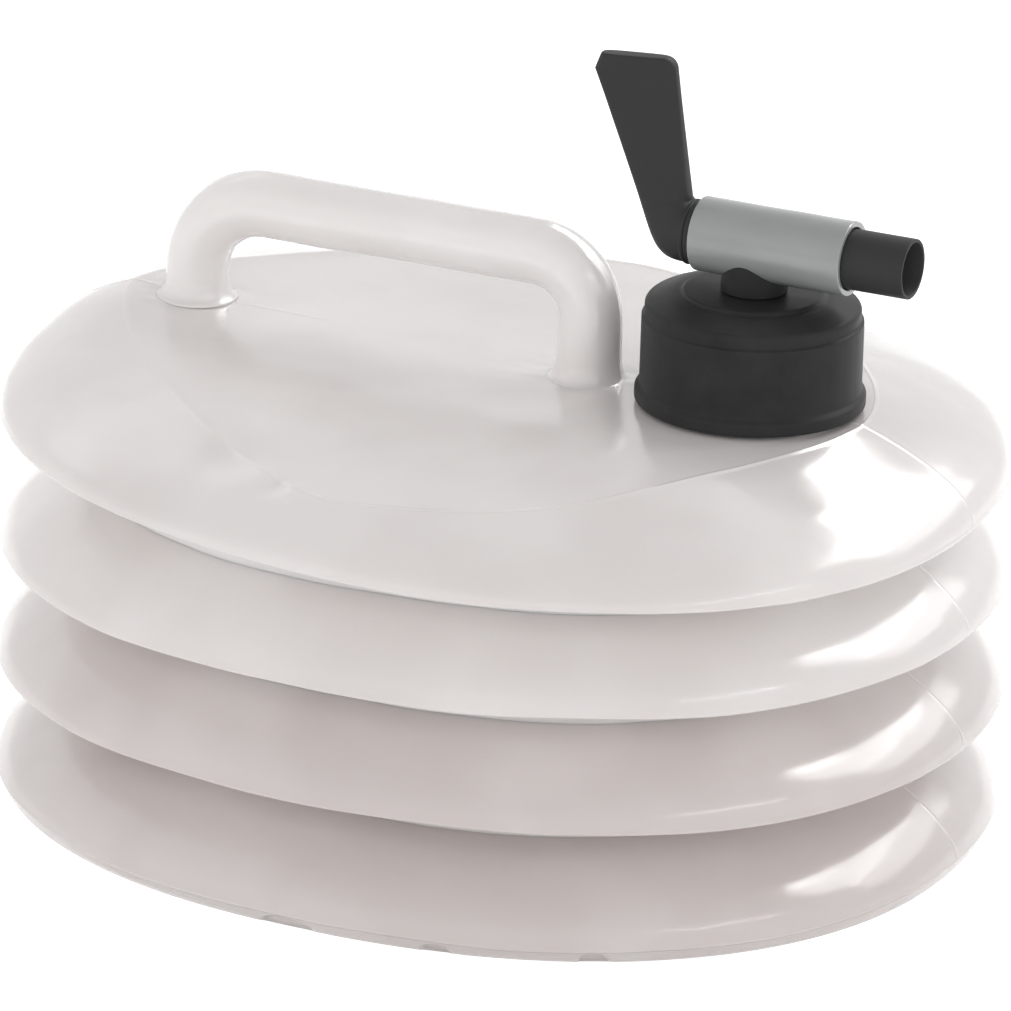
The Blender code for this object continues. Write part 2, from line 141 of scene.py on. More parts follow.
class HandleSizes(bpy.types.PropertyGroup):
    """Sizes of the loop handle."""
    radius: length("Tube radius", "Outside radius of the handle's tube", 8.9)
    rise: length("Rise", "Height of the bar's middle above the panel", 34.5)
    inset: length("Inset", "Distance from the rear end to the rear leg's middle", 42.4)
    to_neck: length("To neck", "Distance from the front leg's middle to the neck's middle", 46.6)
    rear_bend: length("Rear bend", "Radius of the rear bend's middle line", 21)
    front_bend: length("Front bend", "Radius of the front bend's middle line", 15)
    foot_flare: length("Foot flare", "How far the feet spread at the panel", 2.2)
    foot_height: length("Foot height", "Height over which the feet spread", 5)


class CapSizes(bpy.types.PropertyGroup):
    """Sizes of the screw cap."""
    radius: length("Skirt radius", "Radius of the skirt above its lip", 29.2)
    draft: length("Draft", "How much narrower the skirt is at its top", 0.7)
    lip: length("Lip", "How far the lip stands out", 1.3)
    lip_height: length("Lip height", "Height of the lip", 4.6)
    bore: length("Bore", "Radius inside the skirt", 26.3)
    disc_radius: length("Disc radius", "Radius of the raised disc under the tap", 18.4)
    plate: length("Plate", "Thickness of the cap's top", 2.4)


class TapSizes(bpy.types.PropertyGroup):
    """Sizes of the tap's sleeve, stem, turning tube and lever."""
    sleeve_radius: length("Sleeve radius", "Outside radius of the grey sleeve", 9.9)
    stem_radius: length("Stem radius", "Radius of the stem that goes through the cap", 7)
    saddle_radius: length("Saddle radius", "Radius of the saddle under the sleeve", 8.8)
    tube_radius: length("Tube radius", "Outside radius of the turning tube", 8)
    bore: length("Bore", "Radius of the spout's bore", 4.8)
    mouth: length("Mouth", "Radius of the bore where it opens at the spout's end", 7.1)
    root_width: length("Lever root width", "Width of the lever at the elbow", 14.6)
    tip_width: length("Lever tip width", "Width of the lever at its tip", 24.6)
    lean: length("Lever lean", "How far the lever leans back at its tip", 10.6)
    tip_fall: length("Tip fall", "How far the tip's top falls towards its rear", 1.3)
    root_thickness: length("Root thickness", "Thickness of the lever at the elbow", 9)
    tip_thickness: length("Tip thickness", "Thickness of the lever at its tip", 5.4)
    dish: length("Dish", "Depth of the shallow dish in the lever's broad faces", 0.45)


class Finishes(bpy.types.PropertyGroup):
    """Colours of the mouldings."""
    milky: colour("Milky", "Translucent container", "F4F2F1")
    # Painted shade: this tone is mixed in towards the base and below the handle, and in random
    # cloudy patches
    milky_cloud_and_shade: colour("Milky, thick", "Container where its wall is thicker", "D3CCCA")
    black: colour("Black", "Cap and stem", "202021")
    # Painted light: a lighter copy of the cap's black for the lever and spout
    lit_black: colour("Handled black", "Lever and spout", "3A3A3B")
    grey: colour("Grey", "Sleeve of the tap", "8F9392")
    rubber: colour("Rubber", "Gasket, washer and O-rings", "989896")
    acetal: colour("Acetal", "Clip under the cap", "DBDBD8")


class StageSettings(bpy.types.PropertyGroup):
    """Camera, floor and lamps."""
    azimuth: angle("Azimuth", "Camera's angle round the carrier", 24.5)
    elevation: angle("Elevation", "Camera's angle above the floor", 20.1)
    roll: angle("Roll", "Camera's turn about its own line of sight", 1.7)
    distance: length("Distance", "From the camera to the middle of the view", 2520)
    lens: FloatProperty(name="Lens", description="Focal length of the camera", default=336.0,
                        subtype='DISTANCE_CAMERA')
    room_light: strength("Room light", "Strength of the soft light from all round", 0.77)
    ceiling_light: strength("Ceiling light", "Strength of the soft light from above", 0.48)
    lamp_light: strength("Lamp light", "Share of full strength of the soft boxes", 1.0)


# Mesh tools

def signed_power(values, power):
    """Sizes of the values raised to a power, with their signs kept."""
    return np.sign(values) * np.abs(values) ** power


def surface(name, grid, wrap_rows=False, poles=(False, False)):
    """A closed mesh from a grid of points, grid[row, column], whose columns go all the way round.

    Row r joins row r + 1 in quads; wrap_rows joins the last row to the first, and a pole is the
    mean point of an end row, joined to it by a fan. The faces are turned to enclose a positive
    volume, the sum of a . (b x c) / 6 over the triangles a, b, c.
    """
    rows, columns = grid.shape[:2]
    points = grid.reshape(-1, 3)
    number = np.arange(rows * columns).reshape(rows, columns)
    if wrap_rows:
        number = np.vstack((number, number[:1]))
    after = np.roll(number, -1, axis=1)
    quads = np.stack((number[:-1], after[:-1], after[1:], number[1:]), axis=-1).reshape(-1, 4)
    fans = np.empty((0, 3), int)
    for is_pole, end in zip(poles, (0, -1)):
        if is_pole:
            tip = np.full(columns, len(points))
            points = np.vstack((points, grid[end].mean(axis=0)))
            ring, ahead = (after[end], number[end]) if end == 0 else (number[end], after[end])
            fans = np.vstack((fans, np.stack((ring, ahead, tip), axis=-1)))
    halves = np.vstack((quads[:, :3], quads[:, (0, 2, 3)], fans))
    a, b, c = (points[halves[:, k]] for k in range(3))
    if np.einsum("ij,ij->", a, np.cross(b, c)) < 0:
        quads, fans = quads[:, ::-1], fans[:, ::-1]
    mesh = bpy.data.meshes.new(name)
    mesh.from_pydata(points.astype(np.float32), [], quads.tolist() + fans.tolist())
    mesh.update()
    mesh.shade_smooth()
    made = bpy.data.objects.new(name, mesh)
    bpy.context.scene.collection.objects.link(made)
    return made


def piece(made, body, slot, look, *nodes):
    """Finish a piece: its material, its body and the nodes it stands for. slot is not used."""
    made.data.materials.append(look)
    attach(made, body)
    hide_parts(*nodes)
    return made


def travelled(line):
    """Distance along a line of points from its first point to each of them."""
    return np.concatenate(([0], np.cumsum(np.linalg.norm(np.diff(line, axis=0), axis=1))))


def evenly(line, step):
    """The same line with points a fixed step apart, found by distance along it."""
    along = travelled(line)
    even = np.linspace(0, along[-1], int(along[-1] / step) + 1)
    return np.stack([np.interp(even, along, line[:, k]) for k in range(line.shape[1])], axis=1)


def nearest(line, points):
    """Numbers of a line's rows, each the one that lies nearest to a point."""
    return [int(np.argmin(np.linalg.norm(line - point, axis=1))) for point in points]


def softened(rows, passes):
    """Round the corners of a line or grid along its rows.

    Each pass puts a row at a quarter of the one before, half of itself and a quarter of the one
    after, and the end rows stay.
    """
    rows = rows.copy()
    for _ in range(passes):
        rows[1:-1] = (rows[:-2] + 2 * rows[1:-1] + rows[2:]) / 4
    return rows


def kept_rows(line, count, focus=(), gain=10.0, width=1.5 * MM):
    """Numbers of the rows to keep of a dense line: evenly spread, and closer near the focus rows.

    The weight of a step is its length times 1 + gain times the sum of exp(-(d / width) ** 2),
    with d the distance to each focus row.
    """
    along = travelled(line)
    middle = (along[1:] + along[:-1]) / 2
    near = sum((bump(middle - along[row], width) for row in focus), np.zeros(len(middle)))
    total = np.concatenate(([0], np.cumsum(np.diff(along) * (1 + gain * near))))
    rows = np.interp(np.linspace(0, total[-1], count), total, np.arange(len(line)))
    return np.unique(np.rint(rows).astype(int))


def outward(grid):
    """Unit normals of a grid that goes round anticlockwise and up: the cross product of both."""
    across = np.roll(grid, -1, axis=1) - np.roll(grid, 1, axis=1)
    normal = np.cross(across, np.gradient(grid, axis=0))
    return normal / np.maximum(np.linalg.norm(normal, axis=2, keepdims=True), 1e-12)


def ripple(points, seed, height, shortest, longest, waves=16):
    """Uneven cooling of a blow moulding: the mean of plane sine waves in seeded random directions.

    height is about the largest sum, and the wavelengths lie between shortest and longest.
    """
    random = np.random.default_rng(seed)
    direction = random.normal(size=(waves, 3))
    direction /= np.linalg.norm(direction, axis=1, keepdims=True)
    number = tau / random.uniform(shortest, longest, waves)
    phase = random.uniform(0, tau, waves)
    sines = np.sin(points @ (direction * number[:, None]).T + phase)
    return height * sines.sum(axis=-1) / waves ** 0.5


def bump(distance, width):
    """A smooth hill, 1 at no distance: exp(-(distance / width) ** 2)."""
    return np.exp(-(distance / width) ** 2)


def full_turn(count):
    """Angles spread evenly round a full turn."""
    return tau * np.arange(count) / count


def turned(profile, segments, axis='Z', centre=(0.0, 0.0)):
    """Grid of a profile of (radius, distance) turned about an axis.

    About Z the centre is its (x, y), and about X its (y, z).
    """
    angle = full_turn(segments)
    across = profile[:, :1] * np.cos(angle)
    up = profile[:, :1] * np.sin(angle)
    distance = np.broadcast_to(profile[:, 1:], across.shape)
    if axis == 'Z':
        return np.stack((centre[0] + across, centre[1] + up, distance), axis=-1)
    return np.stack((distance, centre[0] + across, centre[1] + up), axis=-1)


def rounded(points, softness, count, step=0.05 * MM):
    """A closed profile from corner points, with its corners rounded over about the softness given.

    It is resampled at a small step and smoothed until the spread, sqrt(passes / 2) steps, is the
    softness, and then thinned to a count of points, closest at the corners.
    """
    corners = np.array(points, float)
    ring = evenly(np.vstack((corners, corners[:1])), step)[:-1]
    passes = int(2 * (softness / step) ** 2)
    smooth = ring.copy()
    for _ in range(passes):
        smooth = (np.roll(smooth, 1, axis=0) + 2 * smooth + np.roll(smooth, -1, axis=0)) / 4
    return smooth[kept_rows(smooth, count, nearest(ring, corners), gain=8.0, width=3 * softness)]


# Container

# Columns of the container's grids, and the spacing of the dense profiles before rows are picked
COLUMNS = 448
STEP = 0.1 * MM

# Crease round the panel: insets of its front, rear and sides, and its fullness behind and in front
CREASE_PAST_NECK = 7.6 * MM
CREASE_REAR_INSET = 23 * MM
CREASE_HALF_WIDTH = HALF_WIDTH - 21 * MM
CREASE_POWERS = (1.4, 1.65)

# Level seat round the neck, and how far out it goes over into the panel
SEAT_RADIUS = 20 * MM
SEAT_SPREAD = 64 * MM

# Where the bellows ends and the top starts, drawn in from the top ridge on its under side
SPLIT_INSET = 12.5 * MM

# Where the bottom pan ends and the bellows starts, and how the skin tucks in under the lowest ridge
RIM_DROP = 0.6 * MM
TUCK_IN, TUCK_DOWN = 1.2 * MM, 1.4 * MM

# Height and width of the mould seam, the beads on the ridges, the fold grooves, the crease's bead
# and the base's weld line, and the height of the puckers round the handle's feet
SEAM = (0.13 * MM, 0.4 * MM)
BEAD_WIDTH = 0.55 * MM
GROOVE = (0.3 * MM, 0.8 * MM)
CREASE_BEAD = (0.22 * MM, 0.7 * MM)
WELD = (0.5 * MM, 0.7 * MM)
PUCKER_HEIGHT = 0.35 * MM


def outline(size, inset, turns):
    """Points (x, y) of the container's outline, drawn in by an inset.

    x = (half length - inset) * cos(turn) ** (2 / power), y = (half width - inset) * sin(turn) **
    (2 / power), with the signs kept.
    """
    power = 2 / size.outline_power
    return ((HALF_LENGTH - inset) * signed_power(np.cos(turns), power),
            (HALF_WIDTH - inset) * signed_power(np.sin(turns), power))


def column_turns(size, count=COLUMNS, seam_gain=7.0, seam_reach=2.2 * MM):
    """Turns of the columns: even along the outline, and closer at the mould seam, where y is 0."""
    dense = np.linspace(0, tau, 40001)
    line = np.stack(outline(size, 0, dense), axis=1)
    along = travelled(line)
    weight = 1 + seam_gain * bump((line[1:, 1] + line[:-1, 1]) / 2, seam_reach)
    total = np.concatenate(([0], np.cumsum(np.diff(along) * weight)))
    return np.interp(np.arange(count) / count * total[-1], total, dense)


def loops(size, profile, turns):
    """Grid of the outline, drawn in and raised by each row of a profile of (inset, height)."""
    x, y = outline(size, profile[:, :1], turns[None, :])
    return np.stack((x, y, np.broadcast_to(profile[:, 1:], x.shape)), axis=-1)


def seam(points, reach=45 * MM, spread=20 * MM):
    """Height of the fine mould seam along the middle plane, near the container's two ends."""
    fade = np.clip((np.abs(points[..., 0]) - reach) / spread, 0, 1)
    return SEAM[0] * bump(points[..., 1], SEAM[1]) * fade


def flank_profile(size):
    """Dense profile of the bellows, (inset, height), from under its lowest ridge to the top one.

    Over a ridge the inset is fold_depth * (h / upper_rise) ** 1.8, with h the height above it, and
    the under side of the next ridge runs straight from fold_depth back to 0.
    """
    share = np.linspace(0, 1, 120)[1:]
    parts = [[[TUCK_IN, size.lowest_ridge - TUCK_DOWN], [0, size.lowest_ridge]]]
    for tier in range(size.tiers - 1):
        ridge = size.lowest_ridge + tier * size.pitch
        upper = (size.fold_depth * share ** 1.8, ridge + size.upper_rise * share)
        parts += [np.stack(upper, axis=1), [[0, ridge + size.pitch]]]
    return np.vstack(parts)


def settled(size, x, y):
    """How far the soft container's top tier stands above its even height, as it has settled in use.

    It leans up to the rear and the far side: lift - x * tan(rear lean) + y * tan(side lean).
    """
    return size.top_lift - x * tan(size.rear_lean) + y * tan(size.side_lean)


def panel_height_at(size, x, y):
    """Height of the raised panel.

    It leans with the top tier, falls with the square of the distance from its middle line, and
    goes over into a level seat round the neck by the share s ** 2 * (3 - 2 * s), with s from 1 at
    the seat's edge to 0 where its spread ends.
    """
    even = top_ridge(size) + size.panel_rise
    height = even + settled(size, x, y) - size.panel_fall * (y / CREASE_HALF_WIDTH) ** 2
    s = np.clip(1 - (np.hypot(x - NECK_X, y) - SEAT_RADIUS) / SEAT_SPREAD, 0, 1)
    return height + (even + size.neck_rise - height) * s ** 2 * (3 - 2 * s)


def top_ridge(size):
    """Height of the ridge round the top."""
    return size.lowest_ridge + (size.tiers - 1) * size.pitch


def inner_skin(grid, wall, rows):
    """The wall's inner side: the outer rows given, moved in by the wall against the normals."""
    return (grid - wall * outward(grid))[rows]


def clear_rows(along, marks, reach, stop):
    """Row 0 and every second row up to stop that is further than the reach from every mark."""
    return [0] + [row for row in range(2, stop, 2) if np.abs(along[row] - marks).min() > reach]


def beads(along, marks, height, width):
    """A column of heights with a hill at each mark, by distance along a profile."""
    return height * sum(bump(along - mark, width) for mark in marks)[:, None]


def container_waves(points):
    """Long ripples of the blown wall and short ones on top of them."""
    return (ripple(points, 3, 0.30 * MM, 45 * MM, 110 * MM)
            + ripple(points, 8, 0.07 * MM, 14 * MM, 30 * MM))


def make_bellows(size, look):
    """The folded side: a tube of skin from the lowest ridge to just under the top one."""
    base = size.lowest_ridge
    profile = evenly(flank_profile(size), STEP)
    ridges = nearest(profile, [(0, base + k * size.pitch) for k in range(size.tiers)])
    folds = nearest(profile, [(size.fold_depth, base + size.upper_rise + k * size.pitch)
                              for k in range(size.tiers - 1)])
    smooth = softened(profile, 60)
    keep = kept_rows(smooth, 128, ridges + folds, gain=9.0, width=1.3 * MM)
    split = folds[-1] + int(np.argmin(np.abs(profile[folds[-1]:, 0] - SPLIT_INSET)))
    keep = np.append(keep[(smooth[keep, 1] >= base - RIM_DROP) & (keep < split - 4)], split)
    along = travelled(profile)
    ridges, folds, along = along[ridges], along[folds], along[keep]
    grid = loops(size, smooth[keep] + (size.bead, 0), column_turns(size))
    leaning = np.clip((along - folds[-1])[:, None] / size.fold_depth, 0, 1)
    grid[..., 2] += settled(size, grid[..., 0], grid[..., 1]) * leaning
    push = beads(along, ridges, size.bead, BEAD_WIDTH) - beads(along, folds, *GROOVE)
    push = push + container_waves(grid) + seam(grid)
    outer = within_box(grid + outward(grid) * push[..., None])
    rows = clear_rows(along, np.append(ridges, folds), 2.0 * MM, len(keep) - 2)
    inner = inner_skin(grid, size.wall, rows + [len(keep) - 1])
    made = surface("bellows", np.concatenate((outer, inner[::-1])), wrap_rows=True)
    piece(made, "base", "milky_plastic", look,
          "container_base", "container_tier_2", "container_tier_3")
    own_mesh(made)
    return made


def within_box(points):
    """Points held inside the container's half length and half width."""
    limit = np.array([HALF_LENGTH, HALF_WIDTH])
    held = points.copy()
    held[..., :2] = np.clip(held[..., :2], -limit, limit)
    return held


# Moulded arches in the foot band of both long sides, in mm: middle's x, half width and height
FOOT_ARCHES = np.array([(-5, 7.4, 3.0), (36.4, 3.8, 2.6), (75.3, 3.5, 2.8)]) * MM
ARCH_DEPTH = 1.9 * MM


def foot_arches(points):
    """Depth of the small arched recesses in the foot band.

    It is the full depth where (dx / half width) ** 2 + (z / height) ** 2 is under 1, with a steep
    edge: the full depth times 1 / (1 + exp(20 * (that sum - 1))).
    """
    x, z = points[..., 0], points[..., 2]
    depth = np.zeros(x.shape)
    for middle, half_width, height in FOOT_ARCHES:
        inside = ((x - middle) / half_width) ** 2 + (z / height) ** 2
        depth += 1 / (1 + np.exp(np.clip(20 * (inside - 1), -40, 40)))
    on_long_side = np.abs(points[..., 1]) > 40 * MM
    return depth * ARCH_DEPTH * on_long_side


def make_bottom_pan(size, look):
    """The base panel with its foot band: a shallow dish closed at both middles.

    Its under side stands on a flat rim and draws up 1.2 mm inside it, with the weld line that the
    closing mould leaves along the middle.
    """
    rim = size.lowest_ridge - RIM_DROP
    rim_inset = TUCK_IN * RIM_DROP / TUCK_DOWN + size.bead
    middle, drawn_up = HALF_WIDTH - 1 * MM, 1.2 * MM
    under = np.array([[middle, drawn_up], [20 * MM, drawn_up], [13 * MM, drawn_up], [10.5 * MM, 0],
                      [2.4 * MM, 0], [TUCK_IN + size.bead, 1.2 * MM], [rim_inset, rim]])
    profile = evenly(under, STEP)
    smooth = softened(profile, 18)
    focus = nearest(profile, under[2:-1]) + [len(smooth) - 1]
    profile = smooth[kept_rows(smooth, 46, focus, gain=14.0, width=2.5 * MM)]
    turns = column_turns(size, 2 * COLUMNS)
    outer = loops(size, profile, turns)
    under_side = profile[:, :1] > 10 * MM
    weld = WELD[0] * bump(outer[..., 1], WELD[1])
    weld *= np.abs(outer[..., 0]) < HALF_LENGTH - 18 * MM
    outer[..., 2] -= weld * under_side
    height = outer[..., 2]
    below_rim = np.clip((rim - height) / (0.3 * MM), 0, 1)
    arched = np.maximum(np.clip(height / (0.8 * MM), 0, 1) * below_rim, height < 0.8 * MM)
    push = (container_waves(outer) + seam(outer)) * np.clip(height / (2 * MM), 0, 1)
    push = np.where(under_side, 0, push - foot_arches(outer) * arched)
    outer[..., :2] += (outward(outer) * push[..., None])[..., :2]
    outer[..., 2] = np.maximum(outer[..., 2], 0)
    inside = np.array([[rim_inset + size.wall, rim], [2.6 * MM + size.wall, 2.2 * MM],
                       [8 * MM, 1.7 * MM], [14 * MM, 2.8 * MM], [middle, 2.8 * MM]])
    inner = loops(size, evenly(inside, 6 * MM), turns)
    made = surface("bottom_pan", within_box(np.concatenate((outer, inner))), poles=(True, True))
    return piece(made, "base", "milky_plastic", look, "container_base")


def crease_loop(size, turns):
    """The crease round the raised panel: a loop fuller than a diamond.

    x = middle + half length * cos(turn) ** (2 / power), y = half width * sin(turn) ** (2 / power),
    with the signs kept and one power in the rear half and another round the neck.
    """
    front = NECK_X + size.neck_radius + CREASE_PAST_NECK
    rear = CREASE_REAR_INSET - HALF_LENGTH
    power = 2 / np.where(np.cos(turns) > 0, CREASE_POWERS[1], CREASE_POWERS[0])
    x = (front + rear) / 2 + (front - rear) / 2 * signed_power(np.cos(turns), power)
    y = CREASE_HALF_WIDTH * signed_power(np.sin(turns), power)
    return np.stack((x, y, panel_height_at(size, x, y)), axis=-1)


def neck_circle(size, radius, turns, height=None):
    """A circle round the neck's axis, on the panel where no height is given."""
    x, y = NECK_X + radius * np.cos(turns), radius * np.sin(turns)
    z = panel_height_at(size, x, y) if height is None else np.full(x.shape, height)
    return np.stack((x, y, z), axis=-1)


def between(start, end, count):
    """Rows of points that run straight from one loop to another; the first loop is left out."""
    return start + (end - start) * np.linspace(0, 1, count)[1:, None, None]


def make_top_shell(size, handle, look):
    """The top: under side of the top ridge, domed shoulder, raised panel and neck, as one skin.

    On the shoulder a point lies at ridge + (crease - ridge) * u ** 2 seen from above and at
    ridge + rise * u in height, for u from 0 to 1. The panel's loops run from the crease to the
    neck's foot on the panel's surface. The skin starts half way along the under side, where the
    bellows ends, so that the joint stays out of sight when the container is folded down.
    """
    turns = column_turns(size)
    top = top_ridge(size)
    crease = crease_loop(size, turns)
    x, y = outline(size, size.bead, turns)
    ridge = np.stack((x, y, top + settled(size, x, y)), axis=-1)
    x, y = outline(size, size.bead + SPLIT_INSET, turns)
    away = SPLIT_INSET / size.fold_depth
    drop = (size.pitch - size.upper_rise) * away
    low = np.stack((x, y, top - drop + settled(size, x, y) * (1 - away)), axis=-1)
    u = np.linspace(0, 1, 360)[1:, None, None]
    shoulder = ridge + (crease - ridge) * u ** 2
    shoulder[..., 2] = ridge[:, 2] + (crease[:, 2] - ridge[:, 2]) * u[..., 0]
    fillet = 2.2 * MM
    foot = neck_circle(size, size.neck_radius + fillet, turns)
    panel = between(crease, foot, 400)
    panel[..., 2] = panel_height_at(size, panel[..., 0], panel[..., 1])
    seat = top + size.panel_rise + size.neck_rise
    neck_foot = neck_circle(size, size.neck_radius, turns, seat + fillet)
    neck_top = neck_circle(size, size.neck_radius, turns, NECK_RIM)
    parts = [low[None], between(low, ridge, 130), shoulder, panel,
             between(foot, neck_foot, 25), between(neck_foot, neck_top, 100)]
    smooth = softened(np.concatenate(parts), 26)
    ends = np.cumsum([len(part) for part in parts])[1:] - 1
    sample = smooth[:, COLUMNS // 10]
    keep = kept_rows(sample, 126, ends[:4], gain=9.0, width=1.6 * MM)
    grid = smooth[keep]
    along = travelled(sample)
    at_ridge, at_crease, at_foot = along[ends[:3]]
    on_panel = (keep > ends[1]) & (keep < ends[2])
    along = along[keep]
    off_neck = np.clip((at_foot - along) / (8 * MM), 0, 1)[:, None]
    push = beads(along, [at_crease], *CREASE_BEAD)
    push = push + beads(along, [at_ridge], size.bead, BEAD_WIDTH)
    push = push + (container_waves(grid) + seam(grid)) * off_neck + dents(grid)
    push = push + foot_puckers(grid, handle) * on_panel[:, None]
    outer = within_box(grid + outward(grid) * push[..., None])
    rows = clear_rows(along, np.array([at_ridge, at_crease]), 2.2 * MM, len(keep))
    inner = inner_skin(grid, size.wall, rows)
    rim = neck_circle(size, size.neck_radius - size.wall, turns, NECK_RIM)
    made = surface("top_shell", np.concatenate((outer, rim[None], inner[::-1])), wrap_rows=True)
    return piece(made, "top", "milky_plastic", look, "container_top")


# Dents of handling on the crease, in mm: place x and y, depth and width
DENTS = np.array([(-20.5, -95.5, 0.8, 2.4), (-39, -83, 0.6, 6.0), (-31, 88, 0.7, 3.0)]) * MM


def dents(points):
    """Handling marks: smooth hollows, longer across the crease than along it."""
    x, y = points[..., 0], points[..., 1]
    depth = np.zeros(x.shape)
    for place_x, place_y, deep, width in DENTS:
        depth -= deep * bump(np.hypot(x - place_x, (y - place_y) / 1.6), width)
    return depth


def foot_puckers(points, handle):
    """Fine folds that the handle's feet pull in the panel: waves in a ring round each foot."""
    height = np.zeros(points.shape[:-1])
    for middle, phase in ((handle.inset - HALF_LENGTH, 0.4), (NECK_X - handle.to_neck, 2.1)):
        x, y = points[..., 0] - middle, points[..., 1]
        ring = bump(np.hypot(x, y) - handle.radius - 4.2 * MM, 2.0 * MM)
        height += PUCKER_HEIGHT * ring * np.sin(5 * np.arctan2(y, x) + phase) ** 3
    return height


# Screw thread: pitch, turns, top under the neck's rim, and section in mm, (out, up)
THREAD_PITCH = 4 * MM
THREAD_TURNS = 1.5
THREAD_TOP = NECK_RIM - 3.6 * MM
THREAD_SECTION = np.array([(-0.5, -0.95), (0.9, -0.62), (1.42, -0.42), (1.5, 0), (1.42, 0.42),
                           (0.9, 0.62), (-0.5, 0.95)]) * MM


def thread(name, wall_radius, side, top):
    """A screw thread on a round wall: its section carried up a helix, fading out at both ends.

    It stands out from the wall where side is 1 and inwards where it is -1: radius = wall radius +
    side * out * fade, and height = top - pitch * turns * (1 - share) + up, for a share from 0 to 1
    of its turns.
    """
    share = np.linspace(0, 1, int(THREAD_TURNS * 120))[:, None]
    angle = tau * THREAD_TURNS * share
    fade = np.clip(np.minimum(share, 1 - share) * THREAD_TURNS / 0.25 + 0.15, 0, 1)
    out, up = THREAD_SECTION.T
    radius = wall_radius + side * out * np.where(out > 0, fade, 1)
    height = top - THREAD_PITCH * THREAD_TURNS * (1 - share) + up
    grid = np.stack((NECK_X + radius * np.cos(angle), radius * np.sin(angle), height), axis=-1)
    return surface(name, grid, poles=(True, True))


def make_neck_thread(size, look):
    """The thread on the neck."""
    made = thread("neck_thread", size.neck_radius, 1, THREAD_TOP)
    return piece(made, "top", "milky_plastic", look, "container_top")


# Loop handle

def handle_line(container, size):
    """Middle line of the handle, (x, z), from the rear foot over to the front one."""
    rear, front = size.inset - HALF_LENGTH, NECK_X - size.to_neck
    sunk = 0.7 * MM
    rear_foot, front_foot = (panel_height_at(container, x, 0) - sunk for x in (rear, front))
    top = top_ridge(container) + container.panel_rise + size.rise
    quarter = np.linspace(0, pi / 2, 60)
    first = np.stack((rear + size.rear_bend * (1 - np.cos(quarter)),
                      top - size.rear_bend * (1 - np.sin(quarter))), axis=1)
    second = np.stack((front - size.front_bend * (1 - np.sin(quarter)),
                       top - size.front_bend * (1 - np.cos(quarter))), axis=1)
    return evenly(np.vstack(([[rear, rear_foot]], first, second, [[front, front_foot]])), 2 * STEP)


def make_handle(container, size, look):
    """The hollow loop handle: a round section carried along its line, with spread feet.

    Near a foot the radius grows by foot_flare * (1 - sqrt(1 - (1 - h / foot_height) ** 2)), with h
    the height above the panel.
    """
    line = softened(handle_line(container, size), 120)
    along = travelled(line)
    keep = kept_rows(line, 190, (0, len(line) - 1), gain=6.0, width=5 * MM)
    tangent = np.gradient(line, axis=0)
    tangent /= np.linalg.norm(tangent, axis=1, keepdims=True)
    centre, tangent = line[keep], tangent[keep]
    above_panel = centre[:, 1] - panel_height_at(container, centre[:, 0], 0)
    from_foot = np.clip(above_panel / size.foot_height, 0, 1)
    radius = size.radius + size.foot_flare * (1 - np.sqrt(1 - (1 - from_foot) ** 2))
    angle = full_turn(144)
    grids = []
    for thinner in (0, container.wall):
        reach = (radius - thinner)[:, None]
        x = centre[:, :1] + tangent[:, 1:] * reach * np.cos(angle)
        z = centre[:, 1:] - tangent[:, :1] * reach * np.cos(angle)
        grids.append(np.stack((x, reach * np.sin(angle), z), axis=-1))
    outer, inner = grids
    from_end = np.minimum(along, along[-1] - along)[keep, None]
    fade = np.clip(from_end / (6 * MM), 0, 1)
    push = (container_waves(outer) + SEAM[0] * bump(outer[..., 1], SEAM[1])) * fade
    normal = outer - np.insert(centre, 1, 0, axis=1)[:, None, :]
    normal /= np.linalg.norm(normal, axis=2, keepdims=True)
    outer = outer + normal * push[..., None]
    made = surface("handle_loop", np.concatenate((outer, inner[::3][::-1])), wrap_rows=True)
    return piece(made, "top", "milky_plastic", look, "container_top")


# Screw cap

# Faint flats that the mould's inserts leave round the skirt: how many, how deep, and their share
FLATS, FLAT_DEPTH, FLAT_SHARE = 30, 0.02 * MM, 0.16


